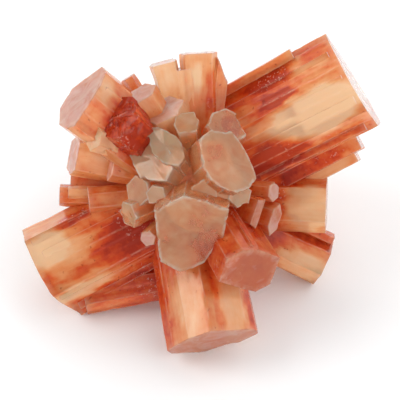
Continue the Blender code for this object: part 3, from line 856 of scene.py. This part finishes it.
# Scale of the noise that chips the rims, per metre, and the shifts, stretches and ranges of the
# noises that groove the sides.
CHIP_SCALE = 620.0
CHIP_RANGE: Range = (0.54, 0.68)
CRYSTAL_SHIFT = 5.3
SEED_SHIFT = 3.7
GROOVE_DRIFT = 0.014
GROOVE_RANGE: Range = (0.36, 0.64)
FLUTE_STRETCH: Point = (0.33, 0.7, 1.7)
FLUTE_SHARE = 1.2


@dataclass(frozen=True)
class Relief:
    """Sizes of the natural relief that the striation tree puts on a crystal."""

    striation_depth: float = 0.05
    striation_pitch: float = 0.80
    waviness: float = 0.10
    wave_size: float = 6.0
    chip_depth: float = 0.16
    seed: int = 7


class StriationTree:
    """Geometry Nodes tree that striates, waves and chips a crystal."""

    def __init__(self) -> None:
        """Build the tree with its named inputs."""
        self.tree = bpy.data.node_groups.new("Striated crystal", "GeometryNodeTree")
        face = self.tree.interface
        face.new_socket("Geometry", in_out="INPUT", socket_type="NodeSocketGeometry")
        self.ids: dict[str, str] = {}
        for name, kind in (("Striation Depth", "NodeSocketFloat"), ("Striation Pitch", "NodeSocketFloat"),
                           ("Waviness", "NodeSocketFloat"), ("Wave Size", "NodeSocketFloat"),
                           ("Chip Depth", "NodeSocketFloat"), ("Seed", "NodeSocketInt"),
                           ("Material", "NodeSocketMaterial")):
            socket = face.new_socket(name, in_out="INPUT", socket_type=kind)
            self.ids[name] = socket.identifier
        face.new_socket("Geometry", in_out="OUTPUT", socket_type="NodeSocketGeometry")
        self.wire()

    def wire(self) -> None:
        """Lay out the tree: grooves along the crystal, slow waves and worn rims."""
        bench = NodeBench(self.tree)
        given = bench.add("NodeGroupInput", {}).outputs
        position = bench.add("GeometryNodeInputPosition", {}).outputs[0]
        bite = bench.span(bench.noise(position, CHIP_SCALE, 2.0), CHIP_RANGE)
        chips = bench.product(bite, bench.named("worn", "FLOAT"), given["Chip Depth"])
        depth = bench.product(self.grooves(bench, given), given["Striation Depth"])
        inward = bench.product(bench.math("ADD", depth, chips), -MM)
        slow = bench.add("ShaderNodeTexNoise", {
            "Vector": position, "Scale": bench.math("DIVIDE", 1.0 / MM, given["Wave Size"]),
            "Detail": 1.0,
        }).outputs["Color"]
        centred = bench.add("ShaderNodeVectorMath", {"0": slow, "1": (0.5, 0.5, 0.5)},
                            operation="SUBTRACT").outputs[0]
        total = bench.add("ShaderNodeVectorMath", {
            "0": bench.scaled(bench.named("out", "FLOAT_VECTOR"), inward),
            "1": bench.scaled(centred, bench.product(given["Waviness"], 2.0 * MM)),
        }, operation="ADD").outputs[0]
        moved = bench.add("GeometryNodeSetPosition", {"Geometry": given["Geometry"], "Offset": total})
        real = bench.add("GeometryNodeRealizeInstances", {"0": moved.outputs[0]})
        dressed = bench.add("GeometryNodeSetMaterial", {"Geometry": real.outputs[0],
                                                        "Material": given["Material"]})
        bench.add("NodeGroupOutput", {"0": dressed.outputs[0]})

    def grooves(self, bench: NodeBench, given: bpy.types.NodeOutputs) -> bpy.types.NodeSocket:
        """Depth pattern of the grooves and broad flutes that run along a crystal.

        Args:
            bench: the helper that works on this tree.
            given: the tree's inputs.

        Returns:
            The pattern's socket.
        """
        strand = bench.add("ShaderNodeSeparateXYZ", {"0": bench.named("strand", "FLOAT_VECTOR")}).outputs
        shift = bench.math("ADD", bench.product(strand["Z"], CRYSTAL_SHIFT),
                           bench.product(given["Seed"], SEED_SHIFT))
        place = bench.add("ShaderNodeCombineXYZ", {
            "X": bench.math("DIVIDE", strand["X"], given["Striation Pitch"]),
            "Y": bench.product(strand["Y"], GROOVE_DRIFT), "Z": shift,
        }).outputs[0]
        steps = bench.span(bench.noise(place, 1.0, 3.0), GROOVE_RANGE, kind="SMOOTHSTEP")
        flute = bench.noise(bench.stretch(place, FLUTE_STRETCH), 1.0, 1.0)
        return bench.math("ADD", steps, bench.product(flute, FLUTE_SHARE))

    def roughen(self, piece: bpy.types.Object, relief: Relief, material: bpy.types.Material) -> None:
        """Bake the tree into a crystal's mesh.

        Args:
            piece: the crystal.
            relief: sizes of its relief.
            material: the finish that it gets.
        """
        live = piece.modifiers.new("striae", "NODES")
        live.node_group = self.tree
        for name, value in (("Striation Depth", relief.striation_depth),
                            ("Striation Pitch", relief.striation_pitch),
                            ("Waviness", relief.waviness), ("Wave Size", relief.wave_size),
                            ("Chip Depth", relief.chip_depth), ("Seed", relief.seed),
                            ("Material", material)):
            live[self.ids[name]] = value
        bake(piece)


def bake(piece: bpy.types.Object) -> None:
    """Turn a piece's modifiers into plain mesh and remove them."""
    graph = bpy.context.evaluated_depsgraph_get()
    result = bpy.data.meshes.new_from_object(piece.evaluated_get(graph), preserve_all_data_layers=True,
                                             depsgraph=graph)
    piece.modifiers.clear()
    old = piece.data
    piece.data = result
    bpy.data.meshes.remove(old)


Colour = tuple[float, float, float, float]

TINTS: tuple[tuple[float, Colour], ...] = (
    (0.00, (0.97, 0.67, 0.40, 1.0)),
    (0.22, (0.95, 0.52, 0.25, 1.0)),
    (0.45, (0.87, 0.34, 0.12, 1.0)),
    (0.68, (0.79, 0.15, 0.030, 1.0)),
    (0.88, (0.70, 0.075, 0.014, 1.0)),
    (1.10, (0.46, 0.03, 0.008, 1.0)),
)
TINT_SPAN = 1.2
# Colour of the painted glints: small highlights painted into the base colour.
PAINTED_GLINT_COLOUR: Colour = (0.98, 0.86, 0.74, 1.0)
INCLUSION_COLOUR: Colour = (0.22, 0.02, 0.006, 1.0)

# Stretches of the noises that follow the grain, per metre across, through and along.
STREAK_GRAIN: Point = (2300.0, 2300.0, 55.0)
WIDE_STREAK_GRAIN: Point = (620.0, 620.0, 45.0)
CLOUD_GRAIN: Point = (300.0, 300.0, 110.0)
FINE_GRAIN: Point = (4600.0, 4600.0, 120.0)

# Scales of the other noises, per metre. The crowd and glint noises place the painted glints.
BLOTCH_SCALE = 240.0
FLECK_SCALE = 900.0
MOTTLE_SCALE = 330.0
PAINTED_GLINT_CROWD_SCALE = 170.0
PAINTED_GLINT_SCALE = 2500.0
INCLUSION_SCALE = 1300.0

# Ranges of noise or redness over which each marking or painted glint sets in, and shares of some of them.
PAINTED_GLINT_CROWD_RANGE: Range = (0.54, 0.68)
PAINTED_GLINT_RANGE: Range = (0.60, 0.66)
PAINTED_GLINT_REDNESS: Range = (0.55, 0.95)
INCLUSION_RANGE: Range = (0.70, 0.74)
INCLUSION_REDNESS: Range = (0.28, 0.45)
# Gaps in the pale rims, which are partly wear and partly a painted edge highlight.
RIM_WEAR_AND_HIGHLIGHT_GAPS: Range = (0.36, 0.56)
ROUGH_RANGE: Range = (0.38, 0.62)
GRIT_REDNESS: Range = (0.4, 0.8)
GRIT_SHARE: Range = (0.1, 0.7)
MOTTLE_SHARE = 1.5
FLECK_RELIEF = 0.6


class TintGroup:
    """Shader group that both growths share: colour, with painted glints and rim highlights, roughness and
    fine relief of aragonite.
    """

    def __init__(self) -> None:
        """Build the group with its named inputs and outputs."""
        self.tree = bpy.data.node_groups.new("Aragonite tint", "ShaderNodeTree")
        face = self.tree.interface
        # The glint input paints small highlights into the colour; the rim inputs paint pale rims, partly
        # wear and partly edge highlight.
        for name in ("Streaks", "Blotches", "Rim Wear And Highlight Share", "Face Share", "Painted Glints", "Inclusions",
                     "Roughness Low", "Roughness High"):
            face.new_socket(name, in_out="INPUT", socket_type="NodeSocketFloat")
        for name in ("Face Colour", "Pale Colour", "Rim Wear And Highlight Colour"):
            face.new_socket(name, in_out="INPUT", socket_type="NodeSocketColor")
        face.new_socket("Colour", in_out="OUTPUT", socket_type="NodeSocketColor")
        face.new_socket("Roughness", in_out="OUTPUT", socket_type="NodeSocketFloat")
        face.new_socket("Height", in_out="OUTPUT", socket_type="NodeSocketFloat")
        self.wire()

    def wire(self) -> None:
        """Lay out the group: tint, end faces, painted glints, inclusions, rims (wear and painted
        highlight), roughness and relief.
        """
        bench = NodeBench(self.tree)
        given = self.tree.nodes.new("NodeGroupInput").outputs
        grain = bench.add("ShaderNodeAttribute", {}, attribute_name="grain").outputs["Vector"]
        zone = bench.add("ShaderNodeAttribute", {}, attribute_name="zone").outputs["Vector"]
        cap = bench.add("ShaderNodeAttribute", {}, attribute_name="cap").outputs["Fac"]
        parts = bench.add("ShaderNodeSeparateXYZ", {"0": zone}).outputs
        place = self.tree.nodes.new("ShaderNodeTexCoord").outputs["Object"]
        cloud = bench.noise(bench.stretch(grain, CLOUD_GRAIN), 1.0, 4.0, 1.4)
        blotch = bench.product(bench.math("ADD", cloud, bench.noise(place, BLOTCH_SCALE, 4.0, 0.8)), 0.5)
        fleck = bench.noise(place, FLECK_SCALE, 3.0, 0.2)
        side = bench.math("SUBTRACT", 1.0, cap)
        red = self.redness(bench, given, grain, parts["Y"], side, blotch, fleck)
        body = self.faced(bench, given, self.ramped(bench, red), cap, parts["X"], place)
        # Painted glints: small highlights painted into the colour of the deep red parts.
        painted_glint_crowd = bench.product(bench.span(bench.noise(place, PAINTED_GLINT_CROWD_SCALE, 2.0), PAINTED_GLINT_CROWD_RANGE),
                              bench.span(red, PAINTED_GLINT_REDNESS))
        painted_glint = bench.product(painted_glint_crowd, bench.span(bench.noise(place, PAINTED_GLINT_SCALE, 2.0), PAINTED_GLINT_RANGE))
        with_painted_glints = bench.blend(bench.product(painted_glint, given["Painted Glints"]), body, PAINTED_GLINT_COLOUR)
        speck = bench.product(bench.span(bench.noise(place, INCLUSION_SCALE, 1.0), INCLUSION_RANGE),
                              bench.span(red, INCLUSION_REDNESS), given["Inclusions"], side)
        spotted = bench.blend(speck, with_painted_glints, INCLUSION_COLOUR)
        # Pale rims on the worn edges: partly the wear and partly a painted edge highlight.
        rim = bench.product(parts["Z"], bench.span(fleck, RIM_WEAR_AND_HIGHLIGHT_GAPS), given["Rim Wear And Highlight Share"])
        colour = bench.blend(rim, spotted, given["Rim Wear And Highlight Colour"])
        rough = bench.span(bench.math("ADD", bench.product(blotch, 0.5), bench.product(fleck, 0.5)),
                           ROUGH_RANGE, (given["Roughness Low"], given["Roughness High"]))
        fine = bench.noise(bench.stretch(grain, FINE_GRAIN), 1.0, 2.0)
        height = bench.math("ADD", bench.product(fine, side), bench.product(fleck, FLECK_RELIEF))
        out = self.tree.nodes.new("NodeGroupOutput").inputs
        for name, value in (("Colour", colour), ("Roughness", rough), ("Height", height)):
            self.tree.links.new(value, out[name])

    def redness(self, bench: NodeBench, given: bpy.types.NodeOutputs, grain: bpy.types.NodeSocket,
                base: bpy.types.NodeSocket, side: bpy.types.NodeSocket,
                blotch: bpy.types.NodeSocket, fleck: bpy.types.NodeSocket) -> bpy.types.NodeSocket:
        """Redness of the crystal, broken up by streaks, blotches and grit.

        Args:
            bench: the helper that works on this group.
            given: the group's inputs.
            grain: place along and across the crystal's grain.
            base: redness from the crystal's tones and patches.
            side: 1 on the sides and 0 on the end face.
            blotch: slow noise.
            fleck: fine noise.

        Returns:
            The redness's socket.
        """
        narrow = bench.noise(bench.stretch(grain, STREAK_GRAIN), 1.0, 3.0, 0.2)
        wide = bench.noise(bench.stretch(grain, WIDE_STREAK_GRAIN), 1.0, 2.0, 0.4)
        lines = bench.product(bench.math("ADD", bench.centred(narrow), bench.centred(wide)), side)
        red = bench.math("ADD", base, bench.product(lines, given["Streaks"]))
        red = bench.math("ADD", red, bench.product(bench.centred(blotch), given["Blotches"]))
        return bench.math("ADD", red, bench.product(bench.centred(fleck),
                                                    bench.span(red, GRIT_REDNESS, GRIT_SHARE)))

    def ramped(self, bench: NodeBench, red: bpy.types.NodeSocket) -> bpy.types.NodeSocket:
        """Turn a redness into its tint and return the tint's socket."""
        ramp = bench.add("ShaderNodeValToRGB", {"Fac": bench.math("DIVIDE", red, TINT_SPAN)})
        stops = ramp.color_ramp.elements
        for index, (stand, colour) in enumerate(TINTS):
            stop = stops[index] if index < 2 else stops.new(stand / TINT_SPAN)
            stop.position = stand / TINT_SPAN
            stop.color = colour
        return ramp.outputs["Color"]

    def faced(self, bench: NodeBench, given: bpy.types.NodeOutputs, tint: bpy.types.NodeSocket,
              cap: bpy.types.NodeSocket, paleness: bpy.types.NodeSocket,
              place: bpy.types.NodeSocket) -> bpy.types.NodeSocket:
        """Lay the colour of the end faces over the tint.

        Args:
            bench: the helper that works on this group.
            given: the group's inputs.
            tint: the tint of the sides.
            cap: 1 on the end face.
            paleness: how pale the crystal's end face is.
            place: place in the object.

        Returns:
            The colour's socket.
        """
        mottle = bench.product(bench.centred(bench.noise(place, MOTTLE_SCALE, 5.0, 1.2)), MOTTLE_SHARE)
        end_colour = bench.blend(bench.math("ADD", paleness, mottle), given["Face Colour"],
                                 given["Pale Colour"])
        return bench.blend(bench.product(cap, given["Face Share"]), tint, end_colour)


@dataclass(frozen=True)
class Finish:
    """How one growth looks: its tint settings with painted glints and rim highlights, how clear it is and
    what it absorbs.
    """

    name: str
    streaks: float
    blotches: float
    # Share and colour of the pale rims, partly wear and partly a painted edge highlight.
    rim_wear_and_highlight_share: float
    face_share: float
    inclusions: float
    rough_low: float
    rough_high: float
    face_colour: Colour
    pale_colour: Colour
    rim_wear_and_highlight_colour: Colour
    transmission: float
    absorb_colour: Colour
    absorb_density: float
    # Share of the painted glint highlights.
    painted_glints: float = 0.6
    glow: float = 0.22
    glow_reach: Point = (1.0, 0.60, 0.35)
    glow_scale: float = 0.0015
    bump: float = 0.22
    bump_depth: float = 0.00006
    refraction: float = 1.6
    shine: float = 0.35
    shine_tint: Colour = (1.0, 0.80, 0.68, 1.0)

    def material(self, group: TintGroup) -> bpy.types.Material:
        """Make the material around the shared group.

        Args:
            group: the shared tint group.

        Returns:
            The new material.
        """
        made = bpy.data.materials.new(self.name)
        made.use_nodes = True
        bench = NodeBench(made.node_tree)
        shader = made.node_tree.nodes["Principled BSDF"]
        tint = made.node_tree.nodes.new("ShaderNodeGroup")
        tint.node_tree = group.tree
        for name, value in (("Streaks", self.streaks), ("Blotches", self.blotches),
                            ("Rim Wear And Highlight Share", self.rim_wear_and_highlight_share), ("Face Share", self.face_share),
                            ("Painted Glints", self.painted_glints), ("Inclusions", self.inclusions),
                            ("Roughness Low", self.rough_low), ("Roughness High", self.rough_high),
                            ("Face Colour", self.face_colour), ("Pale Colour", self.pale_colour),
                            ("Rim Wear And Highlight Colour", self.rim_wear_and_highlight_colour)):
            tint.inputs[name].default_value = value
        links = made.node_tree.links
        links.new(tint.outputs["Colour"], shader.inputs["Base Color"])
        links.new(tint.outputs["Roughness"], shader.inputs["Roughness"])
        relief = bench.add("ShaderNodeBump", {"Height": tint.outputs["Height"],
                                              "Strength": self.bump, "Distance": self.bump_depth})
        links.new(relief.outputs[0], shader.inputs["Normal"])
        shader.inputs["IOR"].default_value = self.refraction
        shader.inputs["Transmission Weight"].default_value = self.transmission
        shader.inputs["Specular IOR Level"].default_value = self.shine
        shader.inputs["Specular Tint"].default_value = self.shine_tint
        shader.inputs["Subsurface Weight"].default_value = self.glow
        shader.inputs["Subsurface Radius"].default_value = self.glow_reach
        shader.inputs["Subsurface Scale"].default_value = self.glow_scale
        absorb = bench.add("ShaderNodeVolumeAbsorption", {"Color": self.absorb_colour,
                                                          "Density": self.absorb_density})
        exit_node = made.node_tree.nodes["Material Output"]
        links.new(absorb.outputs[0], exit_node.inputs["Volume"])
        return made


# In each finish the rim share and colour paint pale rims, partly wear and partly a painted edge
# highlight.
ORANGE_FINISH = Finish(
    name="orange aragonite", streaks=0.15, blotches=1.0, rim_wear_and_highlight_share=0.36, face_share=0.72, inclusions=0.5,
    rough_low=0.11, rough_high=0.27, face_colour=(0.60, 0.165, 0.07, 1.0),
    pale_colour=(0.97, 0.89, 0.86, 1.0), rim_wear_and_highlight_colour=(0.96, 0.68, 0.46, 1.0), transmission=0.52,
    absorb_colour=(0.97, 0.55, 0.26, 1.0), absorb_density=30.0,
)
CLEAR_FINISH = Finish(
    name="clear aragonite", streaks=0.12, blotches=1.8, rim_wear_and_highlight_share=1.0, face_share=0.30, inclusions=0.0,
    rough_low=0.06, rough_high=0.20, face_colour=(0.98, 0.58, 0.28, 1.0),
    pale_colour=(1.0, 0.90, 0.62, 1.0), rim_wear_and_highlight_colour=(1.0, 0.95, 0.76, 1.0), transmission=0.72,
    absorb_colour=(0.97, 0.62, 0.40, 1.0), absorb_density=3.0, glow=0.14,
)
CLEAR_RELIEF = Relief(striation_depth=0.04, waviness=0.18, wave_size=3.0, chip_depth=0.30)
BROKEN_RELIEF = Relief(striation_depth=0.10, waviness=0.32, wave_size=2.6, chip_depth=0.34)


@dataclass
class CrystalGrowth:
    """One growth of the cluster: all its crystals joined in one closed piece."""

    name: str
    growth: Growth
    finish: Finish
    relief: Relief = Relief()
    rim_band: float = 0.08
    cap_rings: int = 4
    crease_deg: float = 24.0

    def crystals(self) -> tuple[Crystal, ...]:
        """All crystals of this growth, its ridges last."""
        tones = {c.name: c.tone for c in MAIN_CRYSTALS}
        ridges = tuple(ridge_crystal(r, tones[r.parent]) for r in RIDGES)
        return tuple(c for c in MAIN_CRYSTALS + ridges if c.growth is self.growth)

    def grow(self, tree: StriationTree, group: TintGroup) -> bpy.types.Object:
        """Build, roughen, join and dress the growth.

        Args:
            tree: the striation tree.
            group: the shared tint group.

        Returns:
            The finished piece.
        """
        material = self.finish.material(group)
        parts: list[bpy.types.Object] = []
        names = [crystal.name for crystal in MAIN_CRYSTALS]
        for crystal in self.crystals():
            owner = crystal.host or crystal.name
            broken = crystal.name in BROKEN_CRYSTALS
            maker = PrismMesh(crystal, names.index(owner) + 1, FACE_PALENESS.get(owner, USUAL_PALENESS),
                              broken, rim_band=self.rim_band, cap_rings=self.cap_rings)
            part = maker.build(tuple(s for s in STAINS if s.crystal == owner))
            tree.roughen(part, BROKEN_RELIEF if broken else self.relief, material)
            parts.append(part)
        piece = self.join(parts)
        piece.name = self.name
        self.trim(piece)
        clear_slivers(piece)
        piece.data.name = self.name
        piece.data.materials.clear()
        piece.data.materials.append(material)
        piece.data.shade_smooth()
        piece.data.set_sharp_from_angle(angle=math.radians(self.crease_deg))
        self.declare(piece)
        return piece

    def join(self, parts: list[bpy.types.Object]) -> bpy.types.Object:
        """Unite the crystals into the first one and remove the others."""
        piece = parts[0]
        for part in parts[1:]:
            combine(piece, part, "UNION")
        return piece

    def trim(self, piece: bpy.types.Object) -> None:
        """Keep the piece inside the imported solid's box, flat where the cluster rests."""
        low, high = (np.array(corner) for corner in RESTING_BOX)
        signs = [(x, y, z) for x in (0, 1) for y in (0, 1) for z in (0, 1)]
        verts = [tuple(low + (high - low) * np.array(s)) for s in signs]
        faces = [(0, 1, 3, 2), (4, 6, 7, 5), (0, 4, 5, 1), (2, 3, 7, 6), (0, 2, 6, 4), (1, 5, 7, 3)]
        mesh = bpy.data.meshes.new("box")
        mesh.from_pydata(verts, [], faces)
        box = bpy.data.objects.new("box", mesh)
        bpy.context.scene.collection.objects.link(box)
        combine(piece, box, "INTERSECT")

    def declare(self, piece: bpy.types.Object) -> None:
        """Attach the piece to the body it rides on and hide the imported solid that it stands in for."""
        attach(piece, BODY)
        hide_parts(CAD_NODE)


def combine(target: bpy.types.Object, tool: bpy.types.Object, operation: str) -> None:
    """Join or cut a closed piece with another, then remove the other.

    Args:
        target: the piece that is kept.
        tool: the piece that joins or cuts it.
        operation: UNION or INTERSECT.
    """
    live = target.modifiers.new("join", "BOOLEAN")
    live.operation = operation
    live.solver = "MANIFOLD"
    live.object = tool
    bake(target)
    bpy.data.objects.remove(tool, do_unlink=True)


# Corners nearer than this, in metres, are merged, and fins are looked for in so many rounds.
SLIVER_SIZE = 5e-7
SLIVER_ROUNDS = 3


def main_body(shape: bmesh.types.BMesh) -> set[bmesh.types.BMFace]:
    """Find the largest set of faces that hang together by their edges."""
    left = set(shape.faces)
    best: set[bmesh.types.BMFace] = set()
    while left:
        front = [left.pop()]
        body = set(front)
        while front:
            for edge in front.pop().edges:
                near = [face for face in edge.link_faces if face in left]
                left.difference_update(near)
                body.update(near)
                front.extend(near)
        if len(body) > len(best):
            best = body
    return best


def clear_slivers(piece: bpy.types.Object) -> None:
    """Remove flat slivers, inner voids and spare corners that a union left in a closed piece."""
    shape = bmesh.new()
    shape.from_mesh(piece.data)
    before = len(shape.faces)
    bmesh.ops.remove_doubles(shape, verts=shape.verts[:], dist=SLIVER_SIZE)
    for _ in range(SLIVER_ROUNDS):
        fins = [face for face in shape.faces
                if any(len(edge.link_faces) == 1 for edge in face.edges)]
        if not fins:
            break
        bmesh.ops.delete(shape, geom=fins, context="FACES")
    kept = main_body(shape)
    stray = [face for face in shape.faces if face not in kept]
    bmesh.ops.delete(shape, geom=stray, context="FACES")
    spare = [vert for vert in shape.verts if len(vert.link_edges) == 2]
    bmesh.ops.dissolve_verts(shape, verts=spare)
    crowded = sum(1 for edge in shape.edges if len(edge.link_faces) != 2)
    LOG.info("%s: %d stray faces removed, %d edges not shared by two faces", piece.name,
             before - len(shape.faces), crowded)
    shape.to_mesh(piece.data)
    shape.free()


@dataclass
class Studio:
    """Pale floor, one soft light from the left and the camera of the photograph."""

    floor_size: float = 3.0
    floor_colour: Colour = (0.955, 0.968, 0.975, 1.0)
    floor_roughness: float = 0.9
    aim: Point = PHOTO_AIM
    camera_distance: float = CAMERA_DISTANCE * MM
    lens: float = 258.0
    near_clip: float = 0.01
    world_strength: float = 1.58
    room_strength: float = 0.36
    room_edge: Range = (0.60, 0.78)
    room_side: Point = (-0.39, -0.23, 0.89)
    side_power: float = 1.4
    side_size: float = 0.33
    side_direction: Point = (-0.76, -0.06, 0.65)
    side_distance: float = 0.60

    def build(self) -> None:
        """Set up the floor, the light and the camera."""
        self.lay_floor()
        self.light_world()
        self.hang_light("side", self.side_direction, self.side_distance, self.side_power,
                        self.side_size)
        self.place_camera()
        bpy.context.scene.view_settings.view_transform = "Standard"

    def lay_floor(self) -> None:
        """Lay a plain pale floor under the cluster."""
        half = self.floor_size / 2
        mesh = bpy.data.meshes.new("floor")
        mesh.from_pydata([(-half, -half, 0), (half, -half, 0), (half, half, 0), (-half, half, 0)],
                         [], [(0, 1, 2, 3)])
        material = bpy.data.materials.new("pale floor")
        material.use_nodes = True
        shader = material.node_tree.nodes["Principled BSDF"]
        shader.inputs["Base Color"].default_value = self.floor_colour
        shader.inputs["Roughness"].default_value = self.floor_roughness
        mesh.materials.append(material)
        floor = bpy.data.objects.new("floor", mesh)
        bpy.context.scene.collection.objects.link(floor)

    def light_world(self) -> None:
        """Light the scene with soft white from all around, dimmer from the ceiling."""
        world = bpy.data.worlds.new("studio")
        world.use_nodes = True
        ground = world.node_tree.nodes["Background"]
        ground.inputs["Color"].default_value = (1.0, 1.0, 1.0, 1.0)
        bench = NodeBench(world.node_tree)
        around = world.node_tree.nodes.new("ShaderNodeTexCoord").outputs["Object"]
        facing = bench.add("ShaderNodeVectorMath", {"0": around, "1": self.room_side},
                           operation="DOT_PRODUCT").outputs["Value"]
        strength = bench.span(facing, self.room_edge, (self.world_strength, self.room_strength))
        world.node_tree.links.new(strength, ground.inputs["Strength"])
        bpy.context.scene.world = world

    def hang_light(self, name: str, direction: Point, distance: float, power: float,
                   size: float) -> None:
        """Hang one soft square light that faces the cluster.

        Args:
            name: the light's name.
            direction: from the cluster towards the light.
            distance: how far off it hangs, in metres.
            power: its power in watts.
            size: its side in metres.
        """
        data = bpy.data.lights.new(name, "AREA")
        data.energy = power
        data.size = size
        lamp = bpy.data.objects.new(name, data)
        aim = self.aim_point()
        lamp.location = aim + Vector(direction).normalized() * distance
        lamp.rotation_euler = (aim - lamp.location).to_track_quat("-Z", "Y").to_euler()
        bpy.context.scene.collection.objects.link(lamp)

    def place_camera(self) -> None:
        """Place the camera as the photograph was taken."""
        data = bpy.data.cameras.new("camera")
        data.lens = self.lens
        data.clip_start = self.near_clip
        camera = bpy.data.objects.new("camera", data)
        aim = self.aim_point()
        camera.location = aim + Vector(self.camera_side()) * self.camera_distance
        camera.rotation_euler = (aim - camera.location).to_track_quat("-Z", "Y").to_euler()
        bpy.context.scene.collection.objects.link(camera)
        bpy.context.scene.camera = camera

    def camera_side(self) -> Point:
        """Direction from the cluster towards the camera."""
        lean = math.radians(LEAN_DEG)
        return (0.0, -math.cos(lean), math.sin(lean))

    def aim_point(self) -> Vector:
        """The point in the world that the camera looks at."""
        return Vector(leaning_to_world(np.array([self.aim]))[0])


def main() -> None:
    """Build the two growths and the studio in order."""
    logging.basicConfig(level=logging.INFO, format="%(name)s: %(message)s")
    group = TintGroup()
    tree = StriationTree()
    growths = (
        CrystalGrowth("orange_prisms", Growth.ORANGE, ORANGE_FINISH),
        CrystalGrowth("clear_crystals", Growth.CLEAR, CLEAR_FINISH, CLEAR_RELIEF, rim_band=0.07,
                      cap_rings=12, crease_deg=26.0),
    )
    for growth in growths:
        piece = growth.grow(tree, group)
        LOG.info("%s: %d faces, riding %s", piece.name, len(piece.data.polygons), BODY)
    Studio().build()
    LOG.info("studio: floor, light and camera")


if __name__ == "__main__":
    main()
